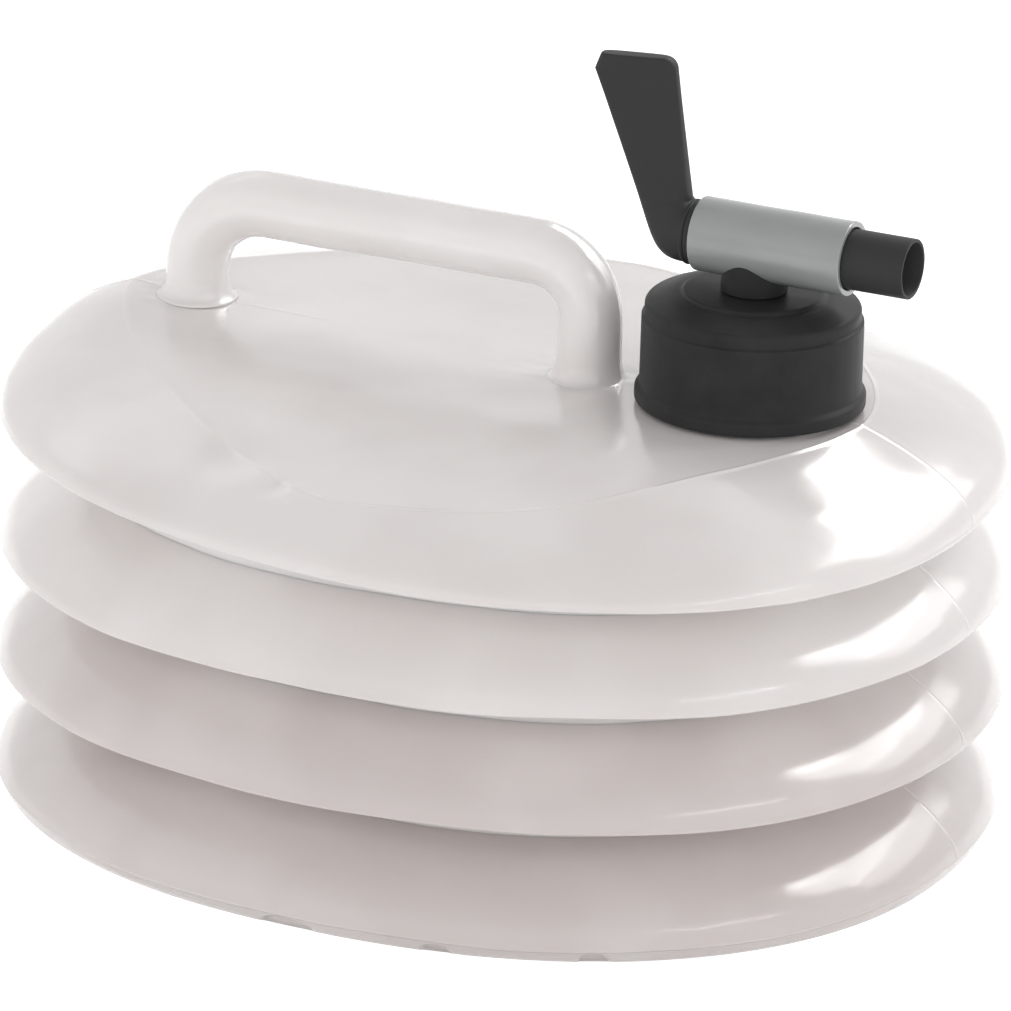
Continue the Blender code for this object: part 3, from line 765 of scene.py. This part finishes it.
def make_cap(size, look):
    """The cap, turned from a closed profile, with faint flats round its skirt.

    The skirt's radius is less by the flats' depth times a narrow hill at each of them, and the top
    rises to its disc along a quarter of a sine wave.
    """
    top_radius = size.radius - size.draft
    edge_top = CAP_UNDERSIDE + size.plate
    dome_top = DISC_TOP - 0.8 * MM
    arc = np.linspace(0, pi / 2, 12)[1:-1]
    shoulder_radius = 1.6 * MM
    shoulder = [(top_radius - shoulder_radius * (1 - cos(a)),
                 edge_top - shoulder_radius * (1 - sin(a))) for a in arc]
    dome_start, dome_end = top_radius - shoulder_radius, size.disc_radius + 0.8 * MM
    dome = [(dome_start + (dome_end - dome_start) * s,
             edge_top + (dome_top - edge_top) * sin(s * pi / 2)) for s in (0.25, 0.5, 0.75, 1.0)]
    stem_hole = 7.3 * MM
    profile = [(size.bore, CAP_BOTTOM),
               (size.radius + size.lip - 0.5 * MM, CAP_BOTTOM),
               (size.radius + size.lip, CAP_BOTTOM + 0.7 * MM),
               (size.radius + size.lip, CAP_BOTTOM + size.lip_height - size.lip),
               (size.radius + 0.1 * MM, CAP_BOTTOM + size.lip_height),
               (top_radius + 0.75 * MM, CAP_UNDERSIDE - 2.0 * MM),
               (top_radius, CAP_UNDERSIDE - 1.6 * MM),
               (top_radius, edge_top - shoulder_radius)] + shoulder + dome + [
               (size.disc_radius, DISC_TOP),
               (stem_hole, DISC_TOP),
               (stem_hole, DISC_TOP - size.plate),
               (size.disc_radius - size.plate, DISC_TOP - size.plate),
               (size.disc_radius - size.plate, CAP_UNDERSIDE),
               (size.bore, CAP_UNDERSIDE)]
    grid = turned(rounded(profile, 0.22 * MM, 210), 360, centre=(NECK_X, 0))
    offset = grid[..., :2] - (NECK_X, 0)
    reach = np.hypot(offset[..., 0], offset[..., 1])
    angle = np.arctan2(offset[..., 1], offset[..., 0])
    flats = FLAT_DEPTH * bump((angle * FLATS / tau + 0.5) % 1 - 0.5, FLAT_SHARE)
    on_skirt = ((reach > size.bore + 1.5 * MM) & (grid[..., 2] > CAP_BOTTOM + size.lip_height)
                & (grid[..., 2] < CAP_UNDERSIDE - 1 * MM))
    grid[..., :2] -= offset / reach[..., None] * (flats * on_skirt)[..., None]
    made = surface("cap_shell", grid, wrap_rows=True)
    return piece(made, "cap", "black_plastic", look, "screw_cap")


def make_cap_thread(size, look):
    """The cap's inner thread, which lies half a pitch below the neck's."""
    made = thread("cap_thread", size.bore, -1, THREAD_TOP - THREAD_PITCH / 2)
    return piece(made, "cap", "black_plastic", look, "screw_cap")


# Tap

def make_sleeve(size, look):
    """The grey sleeve: a turned tube about the tap's level axis, with eased ends."""
    bore = size.tube_radius + PLAY
    profile = [(bore, SLEEVE_START), (size.sleeve_radius, SLEEVE_START),
               (size.sleeve_radius, SLEEVE_END), (bore, SLEEVE_END)]
    grid = turned(rounded(profile, 0.25 * MM, 96), 256, axis='X', centre=(0, TAP_AXIS))
    spoke = grid[..., 1:] - (0, TAP_AXIS)
    reach = np.linalg.norm(spoke, axis=2)
    wave = ripple(grid, 5, 0.03 * MM, 9 * MM, 24 * MM) * (reach > bore + 0.8 * MM)
    grid[..., 1:] += spoke * (wave / reach)[..., None]
    made = surface("tap_sleeve", grid, wrap_rows=True)
    return piece(made, "tap", "grey_plastic", look, "tap_body")


# Radius about the tap's axis at which the saddle ends, inside the sleeve's wall
SADDLE_SEAT = 9.1 * MM


def make_stem(size, look):
    """The saddle and the stem with its barb, about the upright axis; the top follows the sleeve.

    The saddle's wall is shortened from 1 mm above its bottom, so that what lay at the axis' height
    comes to axis - sqrt(seat ** 2 - y ** 2).
    """
    saddle_bottom = DISC_TOP + PLAY
    barb_top = BARB_BOTTOM + 1.8 * MM
    bore = 4.5 * MM
    profile = [(bore, BARB_BOTTOM), (size.stem_radius, BARB_BOTTOM),
               (size.stem_radius + 1 * MM, barb_top), (size.stem_radius, barb_top),
               (size.stem_radius, saddle_bottom), (size.saddle_radius, saddle_bottom),
               (size.saddle_radius, TAP_AXIS), (bore, TAP_AXIS)]
    grid = turned(rounded(profile, 0.15 * MM, 120), 160, centre=(NECK_X, 0))
    inside_wall = TAP_AXIS - np.sqrt(np.maximum(SADDLE_SEAT ** 2 - grid[..., 1] ** 2, 0))
    start = saddle_bottom + 1 * MM
    above = np.maximum(grid[..., 2] - start, 0)
    grid[..., 2] += above * ((inside_wall - start) / (TAP_AXIS - start) - 1)
    made = surface("tap_stem", grid, wrap_rows=True)
    return piece(made, "tap", "black_plastic", look, "tap_body")


# Lever and spout

ELBOW_INNER = 0.5 * MM
ELBOW_RADIUS = 8.3 * MM
COLLAR_RADIUS = 8.7 * MM
COLLAR_WIDTH = 2.6 * MM
SECTION_SIDES = 112

# O-ring grooves: width, depth and distance from the sleeve's ends
RING_WIDTH = 2.2 * MM
RING_DEPTH = 1.7 * MM
RING_INSET = 2.6 * MM


def section_grid(inner, outer, half_thickness, power):
    """Rounded sections between inner and outer points (x, z) of the middle plane, one for each row.

    share = (1 + cos(a) ** (2 / power)) / 2 runs from inner to outer, and y is half the thickness
    times sin(a) ** (2 / power), with the signs kept.
    """
    angle = full_turn(SECTION_SIDES)
    exponent = 2 / power[:, None]
    share = (1 + signed_power(np.cos(angle)[None, :], exponent)) / 2
    x = inner[:, :1] + (outer[:, :1] - inner[:, :1]) * share
    z = inner[:, 1:] + (outer[:, 1:] - inner[:, 1:]) * share
    y = half_thickness[:, None] * signed_power(np.sin(angle)[None, :], exponent)
    return np.stack((x, y, z), axis=-1), share


def rounded_in(drop, radius):
    """How far a rounded edge draws in near its end: r - sqrt(r ** 2 - (r - drop) ** 2)."""
    return radius - np.sqrt(radius ** 2 - np.maximum(0, radius - drop) ** 2)


def make_lever(size, look):
    """Lever, elbow, turning tube and spout as one skin, from the tip's pole to the bore's end.

    The lever narrows and thickens from its tip to the elbow, whose sections turn by a quarter from
    level to upright. Each reaches to the smooth least of its distances to the elbow's under side
    and to the lever's rear, (under ** -6 + behind ** -6) ** (-1 / 6). The tube is turned about the
    tap's axis.
    """
    collar_start = SLEEVE_START - PLAY - COLLAR_WIDTH
    elbow_height = TAP_AXIS + ELBOW_RADIUS + ELBOW_INNER
    rise = LEVER_TOP - elbow_height
    spread = (size.tip_width - size.root_width) / 2
    rear_slope, front_slope = (size.lean + spread) / rise, (size.lean - spread) / rise

    tip = 3.0 * MM
    drop = np.append(tip * np.linspace(0, 1, 26) ** 2.2, np.linspace(tip, rise, 64)[1:])
    up = rise - drop
    share_up = up / rise
    front = collar_start - ELBOW_INNER - front_slope * up - rounded_in(drop, 2.8 * MM)
    chamfer = 3.6 * MM * np.maximum(0, 1 - drop / (4.6 * MM))
    rear = collar_start - ELBOW_INNER - size.root_width - rear_slope * up + chamfer
    thinning = (size.tip_thickness - size.root_thickness) * np.minimum(1, share_up / 0.7)
    half_thickness = (size.root_thickness + thinning) / 2 - rounded_in(drop, 0.8 * MM)
    height = elbow_height + up
    paddle, across = section_grid(np.stack((front, height), axis=1),
                                  np.stack((rear, height - size.tip_fall * share_up), axis=1),
                                  half_thickness, 3 + share_up)
    off_ends = np.clip(share_up / 0.25, 0, 1) * np.clip(drop / (5 * MM), 0, 1)
    hollow = np.clip(1 - (2 * across - 1) ** 4, 0, 1) * off_ends[:, None]
    paddle[..., 1] -= np.sign(paddle[..., 1]) * size.dish * hollow

    share = np.linspace(1, 0, 44)[1:]
    tilt = pi / 2 * share
    nearness_under = np.cos(tilt) / (ELBOW_INNER + 2 * ELBOW_RADIUS)
    nearness_behind = np.sin(tilt) + rear_slope * np.cos(tilt)
    nearness_behind /= ELBOW_INNER + size.root_width
    reach = (nearness_under ** 6 + nearness_behind ** 6) ** (-1 / 6)
    towards = np.stack((np.sin(tilt), np.cos(tilt)), axis=1)
    centre = np.array([collar_start, elbow_height])
    half_thickness = ELBOW_RADIUS + (size.root_thickness / 2 - ELBOW_RADIUS) * share
    elbow, _ = section_grid(centre - ELBOW_INNER * towards, centre - reach[:, None] * towards,
                            half_thickness, 2 + share)

    tube = size.tube_radius
    groove = tube - RING_DEPTH
    rear_groove, front_groove = SLEEVE_START + RING_INSET, SLEEVE_END - RING_INSET
    bore_end = rear_groove + RING_WIDTH + 4 * MM
    collar_end = collar_start + COLLAR_WIDTH
    collar = [(ELBOW_RADIUS, -0.1), (COLLAR_RADIUS, 0.1), (COLLAR_RADIUS, 0.9),
              (ELBOW_RADIUS, 0.95), (ELBOW_RADIUS, 1.25), (COLLAR_RADIUS, 1.3)]
    profile = np.array([(radius, collar_start + x * MM) for radius, x in collar] + [
        (COLLAR_RADIUS, collar_end), (tube, collar_end),
        (tube, rear_groove), (groove, rear_groove),
        (groove, rear_groove + RING_WIDTH), (tube, rear_groove + RING_WIDTH),
        (tube, front_groove - RING_WIDTH), (groove, front_groove - RING_WIDTH),
        (groove, front_groove), (tube, front_groove),
        (tube, SPOUT_END), (size.mouth, SPOUT_END),
        (size.bore, SPOUT_END - 9 * MM), (size.bore, bore_end), (0.4 * MM, bore_end)])
    line = evenly(profile, STEP / 2)
    smooth = softened(line, 30)
    keep = kept_rows(smooth, 190, nearest(line, profile[:-1]), gain=8.0, width=0.5 * MM)
    kept = smooth[keep]
    radius, x = kept[:, :1], kept[:, 1:]
    angle = full_turn(SECTION_SIDES)
    around = np.stack((np.broadcast_to(x, (len(kept), SECTION_SIDES)), radius * np.sin(angle),
                       TAP_AXIS - radius * np.cos(angle)), axis=-1)
    made = surface("lever_and_spout", np.concatenate((paddle, elbow, around)), poles=(True, True))
    return piece(made, "lever", "black_plastic", look, "lever_spout")


# Materials

def node(tree, kind, inputs=None, **settings):
    """Add a shader node with its settings.

    inputs gives each socket's value, or what it is linked to: a socket, or a node's first output.
    """
    made = tree.nodes.new("ShaderNode" + kind)
    for name, value in settings.items():
        setattr(made, name, value)
    for key, value in (inputs or {}).items():
        source = value.outputs[0] if isinstance(value, bpy.types.Node) else value
        if isinstance(source, bpy.types.NodeSocket):
            tree.links.new(source, made.inputs[key])
        else:
            made.inputs[key].default_value = value
    return made


def cleared(owner):
    """The emptied node tree of a material or a world."""
    owner.use_nodes = True
    owner.node_tree.nodes.clear()
    return owner.node_tree


def blank(name):
    """A new material, its emptied node tree, and Object coordinates."""
    look = bpy.data.materials.new(name)
    tree = cleared(look)
    return look, tree, node(tree, "TexCoord").outputs["Object"]


def shaded(look, tree, sockets):
    """Finish a material with a Principled shader that has the values and links given."""
    shader = node(tree, "BsdfPrincipled", sockets)
    node(tree, "OutputMaterial", {"Surface": shader})
    return look


def ramp(start, end, low, high):
    """A Map Range node's settings: from start to end in, and from low to high out."""
    return {"From Min": start, "From Max": end, "To Min": low, "To Max": high}


def blown_polyethylene(finishes):
    """Blow-moulded natural low-density polyethylene.

    Milky and translucent with a waxy gloss: cloudy where the blown wall varies over 30 to 60 mm,
    and faintly uneven where it cooled against the mould. Its colour is also painted darker and
    warmer from under the handle down to the base, painted shade for the light falling off
    towards the bottom, so that the handle stays palest.
    """
    look, tree, place = blank("blow-moulded LDPE")
    cloud = node(tree, "TexNoise", {"Vector": place, "Scale": 1 / (48 * MM), "Detail": 2.0,
                                    "Roughness": 0.45})
    height = node(tree, "SeparateXYZ", {0: place}).outputs["Z"]
    # Painted shade: low darkens and warms the colour from 84 mm down to the base, and body adds
    # more below the handle, so that the handle stays palest
    thick, low, body = (
        node(tree, "MapRange", {"Value": value, **reach}, interpolation_type='SMOOTHSTEP')
        for value, reach in ((cloud, ramp(0.36, 0.66, 0, 1)),
                             (height, ramp(84 * MM, 32 * MM, 0, 0.55)),
                             (height, ramp(134 * MM, 120 * MM, 0, 0.3))))
    even = node(tree, "Math", {0: low, 1: body}, operation='ADD')
    share = node(tree, "Math", {0: thick, 1: 0.2, 2: even}, operation='MULTIPLY_ADD')
    tint = node(tree, "Mix", {0: share, 6: (*finishes.milky, 1), 7: (*finishes.milky_cloud_and_shade, 1)},
                data_type='RGBA')
    patch = node(tree, "TexNoise", {"Vector": place, "Scale": 1 / (17 * MM), "Detail": 3.0})
    gloss = node(tree, "MapRange", {"Value": patch, **ramp(0.3, 0.7, 0.18, 0.25)})
    flow = node(tree, "TexNoise", {"Vector": place, "Scale": 1 / (9 * MM), "Detail": 1.0})
    pitted = node(tree, "TexNoise", {"Vector": place, "Scale": 1 / (1.3 * MM), "Detail": 2.0})
    broad = node(tree, "Bump", {"Height": flow, "Strength": 0.25, "Distance": 0.5 * MM})
    fine = node(tree, "Bump", {"Height": pitted, "Strength": 0.06, "Distance": 0.2 * MM,
                               "Normal": broad})
    return shaded(look, tree, {
        "Base Color": tint.outputs[2], "Roughness": gloss, "Normal": fine, "IOR": 1.51,
        "Coat Weight": 0.8, "Coat Roughness": 0.13, "Subsurface Weight": 0.5,
        "Subsurface Radius": (1.0, 0.85, 0.8), "Subsurface Scale": 1.5 * MM})


def satin_polypropylene(finishes, name="satin polypropylene", black=None):
    """Injection-moulded black polypropylene with a spark-eroded satin face.

    The mould's fine texture spreads every highlight, and handling has polished it in places.
    """
    look, tree, place = blank(name)
    worn = node(tree, "TexNoise", {"Vector": place, "Scale": 1 / (14 * MM), "Detail": 4.0,
                                   "Roughness": 0.6})
    tint = node(tree, "Mix", {0: worn, 6: (*(black or finishes.black), 1), 7: linear("3A3A3B")},
                data_type='RGBA')
    gloss = node(tree, "MapRange", {"Value": worn, **ramp(0.3, 0.7, 0.40, 0.52)})
    grain = node(tree, "TexNoise", {"Vector": place, "Scale": 1 / (0.6 * MM), "Detail": 2.0})
    raised = node(tree, "Bump", {"Height": grain, "Strength": 0.12, "Distance": 0.1 * MM})
    return shaded(look, tree, {"Base Color": tint.outputs[2], "Roughness": gloss,
                               "Normal": raised, "IOR": 1.49, "Specular IOR Level": 0.12})


def lit_polypropylene(finishes):
    """The lever's and spout's black polypropylene, lighter than the cap's: painted light."""
    return satin_polypropylene(finishes, "handled polypropylene", finishes.lit_black)


def plain_moulding(name, first, second, size, detail, sockets, relief=None, stretch=None):
    """A moulding whose colour wanders between two tones over a noise of a size in metres.

    The same noise raises the surface where a relief, (strength, distance), is given, and stretch
    is the pattern's scale along the three axes.
    """
    look, tree, place = blank(name)
    if stretch:
        place = node(tree, "Mapping", {"Vector": place, "Scale": stretch})
    noise = node(tree, "TexNoise", {"Vector": place, "Scale": 1 / size, "Detail": detail})
    tint = node(tree, "Mix", {0: noise, 6: (*first, 1), 7: linear(second)}, data_type='RGBA')
    sockets["Base Color"] = tint.outputs[2]
    if relief:
        sockets["Normal"] = node(tree, "Bump", {"Height": noise, "Strength": relief[0],
                                                "Distance": relief[1]})
    return shaded(look, tree, sockets)


def gloss_polypropylene(finishes):
    """Injection-moulded grey polypropylene from a polished mould.

    Glossy, with faint flow marks along the sleeve that bend the highlight.
    """
    sockets = {"Roughness": 0.3, "IOR": 1.49, "Coat Weight": 0.8, "Coat Roughness": 0.06}
    return plain_moulding("gloss polypropylene", finishes.grey, "9DA1A0", 7 * MM, 3.0, sockets,
                          relief=(0.2, 0.3 * MM), stretch=(0.35, 1.0, 1.0))


def moulded_silicone(finishes):
    """Compression-moulded silicone rubber: matt, with a dusty grain."""
    return plain_moulding("silicone rubber", finishes.rubber, "8C8C8A", 0.8 * MM, 3.0,
                          {"Roughness": 0.62, "IOR": 1.41}, relief=(0.15, 0.1 * MM))


def moulded_acetal(finishes):
    """Injection-moulded acetal: off-white and waxy, with a faint grain."""
    return plain_moulding("acetal", finishes.acetal, "D0D0CC", 2.5 * MM, 2.0,
                          {"Roughness": 0.32, "IOR": 1.48})


def look_named(name, maker, context):
    """The material with that name, made by its maker the first time."""
    return bpy.data.materials.get(name) or maker(context.scene.carrier_finishes)


# Stage

# Boxes light the carrier and don't show in it, and cards show in its gloss and don't light it:
# name, direction from the carrier's middle, distance, width, height and power
BOXES = (("right box", (0.35, 0.60, 0.72), 1.6, 0.70, 0.60, 4.5),
         ("front box", (0.10, -0.85, 0.35), 2.2, 1.60, 1.20, 9.4),
         ("low right box", (0.95, -0.10, 0.22), 2.2, 1.20, 0.80, 8.0),
         ("low left box", (-0.80, -0.55, 0.20), 2.2, 1.20, 0.80, 6.0))
CARDS = (("back card", (0.03, 0.67, 0.74), 1.57, 0.60, 0.40, 5.5),
         ("right card", (0.46, 0.59, 0.67), 1.63, 1.30, 0.66, 10.0),
         ("high card", (0.32, 0.55, 0.77), 1.6, 1.20, 0.22, 4.0),
         ("low card", (0.58, 0.69, 0.43), 1.6, 1.10, 0.40, 2.4),
         ("left card", (-0.64, 0.37, 0.67), 1.6, 0.84, 0.34, 0.45),
         ("strip", (0.80, -0.29, 0.53), 1.6, 0.90, 0.05, 0.85))
LAMP_AIM = Vector((0, 0, 90 * MM))

# Half of the floor's side, how far it lies under the base, and how much it glows to the camera
FLOOR_HALF = 9.0
FLOOR_DROP = 0.05 * MM
FLOOR_GLOW = 0.72

# Middle of the view: to the right of the origin, and up
VIEW_RIGHT, VIEW_UP = 0.4 * MM, 79.66 * MM


def make_floor():
    """A wide level floor that is white to the camera and still takes the carrier's shadow."""
    mesh = bpy.data.meshes.new("floor")
    corners = [(x * FLOOR_HALF, y * FLOOR_HALF, 0) for x, y in ((-1, -1), (1, -1), (1, 1), (-1, 1))]
    mesh.from_pydata(corners, [], [(0, 1, 2, 3)])
    made = bpy.data.objects.new("floor", mesh)
    bpy.context.scene.collection.objects.link(made)
    made.location.z = -FLOOR_DROP
    look = bpy.data.materials.new("white paper sweep")
    tree = cleared(look)
    paper = node(tree, "BsdfDiffuse", {"Color": linear("E6E6E6")})
    glow = node(tree, "Emission", {"Color": (1, 1, 1, 1), "Strength": FLOOR_GLOW})
    both = node(tree, "AddShader", {0: paper, 1: glow})
    mixed = node(tree, "MixShader", {0: seen_directly(tree), 1: paper, 2: both})
    node(tree, "OutputMaterial", {"Surface": mixed})
    mesh.materials.append(look)


def seen_directly(tree):
    """A node that gives 1 for rays from the camera, off gloss or through a clear surface."""
    ray = node(tree, "LightPath").outputs
    seen = ray["Is Camera Ray"]
    for kind in ("Is Glossy Ray", "Is Transmission Ray"):
        seen = node(tree, "Math", {0: seen, 1: ray[kind]}, operation='MAXIMUM')
    return seen


def make_room(horizon, zenith):
    """A white surround, plain white where it is seen and softer where it lights.

    Its ceiling is dimmer. The light falls from horizon to zenith as the direction's height goes
    from 0.25 to 0.95, and what is seen falls from white to zenith from 0.45 to 0.95.
    """
    world = bpy.data.worlds.new("white room")
    bpy.context.scene.world = world
    tree = cleared(world)
    towards = node(tree, "TexCoord").outputs["Generated"]
    height = node(tree, "SeparateXYZ", {0: towards}).outputs["Z"]
    level, shine = (node(tree, "MapRange", {"Value": height, **reach})
                    for reach in (ramp(0.25, 0.95, horizon, zenith), ramp(0.45, 0.95, 1, zenith)))
    light = node(tree, "Background", {"Color": linear("FBF8F7"), "Strength": level})
    white = node(tree, "Background", {"Color": (1, 1, 1, 1), "Strength": shine})
    mixed = node(tree, "MixShader", {0: seen_directly(tree), 1: light, 2: white})
    node(tree, "OutputWorld", {"Surface": mixed})


def make_lamp(name, direction, distance, width, height, power, lights):
    """A soft lamp in a direction from the carrier's middle, facing it.

    It either lights surfaces by its spread light or shows in glossy ones.
    """
    data = bpy.data.lights.new(name, 'AREA')
    data.shape = 'RECTANGLE'
    data.size, data.size_y = width, height
    data.energy = power
    made = bpy.data.objects.new(name, data)
    towards = Vector(direction).normalized()
    made.location = LAMP_AIM + towards * distance
    made.rotation_euler = towards.to_track_quat('Z', 'Y').to_euler()
    made.visible_diffuse, made.visible_glossy = lights, not lights
    bpy.context.scene.collection.objects.link(made)


def make_camera(settings):
    """The camera at the photograph's angle.

    It looks at the middle of the view from the azimuth and elevation, turned by the roll.
    """
    a, e, roll = settings.azimuth, settings.elevation, settings.roll
    back = Vector((sin(a) * cos(e), -cos(a) * cos(e), sin(e)))
    right = Vector((cos(a), sin(a), 0))
    up = back.cross(right)
    rolled_right = right * cos(roll) + up * sin(roll)
    rolled_up = up * cos(roll) - right * sin(roll)
    target = right * VIEW_RIGHT + Vector((0, 0, VIEW_UP))
    data = bpy.data.cameras.new("camera")
    data.lens = settings.lens
    data.clip_end = 60
    made = bpy.data.objects.new("camera", data)
    made.matrix_world = (Matrix.Translation(target + back * settings.distance)
                         @ Matrix((rolled_right, rolled_up, back)).transposed().to_4x4())
    bpy.context.scene.collection.objects.link(made)
    bpy.context.scene.camera = made


# Operators

class CARRIER_OT_stage(bpy.types.Operator):
    """Set the camera, the white floor and the soft lamps"""
    bl_idname = "carrier.stage"
    bl_label = "Stage"

    def execute(self, context):
        settings = context.scene.carrier_stage
        make_camera(settings)
        make_floor()
        make_room(settings.room_light, settings.ceiling_light)
        for lamps, lights in ((BOXES, True), (CARDS, False)):
            for *place, power in lamps:
                make_lamp(*place, power * settings.lamp_light, lights)
        context.scene.view_settings.view_transform = 'Standard'
        return {'FINISHED'}


class CARRIER_OT_container(bpy.types.Operator):
    """Make the base pan, the bellows, the top with its neck, and the neck's thread"""
    bl_idname = "carrier.container"
    bl_label = "Container"

    def execute(self, context):
        size = context.scene.carrier_container
        look = look_named("blow-moulded LDPE", blown_polyethylene, context)
        make_bottom_pan(size, look)
        make_bellows(size, look)
        make_top_shell(size, context.scene.carrier_handle, look)
        make_neck_thread(size, look)
        return {'FINISHED'}


class CARRIER_OT_handle(bpy.types.Operator):
    """Make the loop handle on the raised panel"""
    bl_idname = "carrier.handle"
    bl_label = "Handle"

    def execute(self, context):
        look = look_named("blow-moulded LDPE", blown_polyethylene, context)
        make_handle(context.scene.carrier_container, context.scene.carrier_handle, look)
        return {'FINISHED'}


class CARRIER_OT_cap(bpy.types.Operator):
    """Make the screw cap and its inner thread"""
    bl_idname = "carrier.cap"
    bl_label = "Screw cap"

    def execute(self, context):
        look = look_named("satin polypropylene", satin_polypropylene, context)
        make_cap(context.scene.carrier_cap, look)
        make_cap_thread(context.scene.carrier_cap, look)
        return {'FINISHED'}


class CARRIER_OT_tap(bpy.types.Operator):
    """Make the tap's sleeve and its stem"""
    bl_idname = "carrier.tap"
    bl_label = "Tap body"

    def execute(self, context):
        size = context.scene.carrier_tap
        make_sleeve(size, look_named("gloss polypropylene", gloss_polypropylene, context))
        make_stem(size, look_named("satin polypropylene", satin_polypropylene, context))
        return {'FINISHED'}


class CARRIER_OT_lever(bpy.types.Operator):
    """Make the lever with its turning tube and spout"""
    bl_idname = "carrier.lever"
    bl_label = "Lever and spout"

    def execute(self, context):
        look = look_named("handled polypropylene", lit_polypropylene, context)
        make_lever(context.scene.carrier_tap, look)
        return {'FINISHED'}


class CARRIER_OT_seals(bpy.types.Operator):
    """Give the gasket, the washer, the O-rings and the clip their materials"""
    bl_idname = "carrier.seals"
    bl_label = "Seals and clip"

    def execute(self, context):
        rubber = look_named("silicone rubber", moulded_silicone, context)
        acetal = look_named("acetal", moulded_acetal, context)
        looks = {"cap_gasket": rubber, "stem_washer": rubber, "rear_o_ring": rubber,
                 "front_o_ring": rubber, "stem_clip": acetal}
        for name, look in looks.items():
            for slot in frame["nodes"][name].material_slots:
                slot.material = look
        return {'FINISHED'}


class CARRIER_PT_panel(bpy.types.Panel):
    """Sizes, colours and pieces of the water carrier"""
    bl_idname = "CARRIER_PT_panel"
    bl_label = "Water carrier"
    bl_space_type = 'VIEW_3D'
    bl_region_type = 'UI'
    bl_category = "Carrier"

    def draw(self, context):
        for group in GROUPS:
            box = self.layout.box()
            held = getattr(context.scene, group)
            for name in held.bl_rna.properties.keys():
                if name not in {"name", "rna_type"}:
                    box.prop(held, name)
        for operator in OPERATORS:
            self.layout.operator(operator.bl_idname)


GROUPS = {
    "carrier_container": ContainerSizes,
    "carrier_handle": HandleSizes,
    "carrier_cap": CapSizes,
    "carrier_tap": TapSizes,
    "carrier_finishes": Finishes,
    "carrier_stage": StageSettings,
}
OPERATORS = (CARRIER_OT_stage, CARRIER_OT_container, CARRIER_OT_handle, CARRIER_OT_cap,
             CARRIER_OT_tap, CARRIER_OT_lever, CARRIER_OT_seals)


def register():
    """Register the classes and hang the settings on the scene."""
    for item in (*GROUPS.values(), *OPERATORS, CARRIER_PT_panel):
        bpy.utils.register_class(item)
    for name, group in GROUPS.items():
        setattr(bpy.types.Scene, name, PointerProperty(type=group))


def unregister():
    """Take the settings off the scene and unregister the classes."""
    for name in GROUPS:
        delattr(bpy.types.Scene, name)
    for item in reversed((*GROUPS.values(), *OPERATORS, CARRIER_PT_panel)):
        bpy.utils.unregister_class(item)


def main():
    """Build the carrier and its stage."""
    register()
    bpy.ops.carrier.stage()
    bpy.ops.carrier.container()
    bpy.ops.carrier.handle()
    bpy.ops.carrier.cap()
    bpy.ops.carrier.tap()
    bpy.ops.carrier.lever()
    bpy.ops.carrier.seals()


if __name__ == "__main__":
    main()
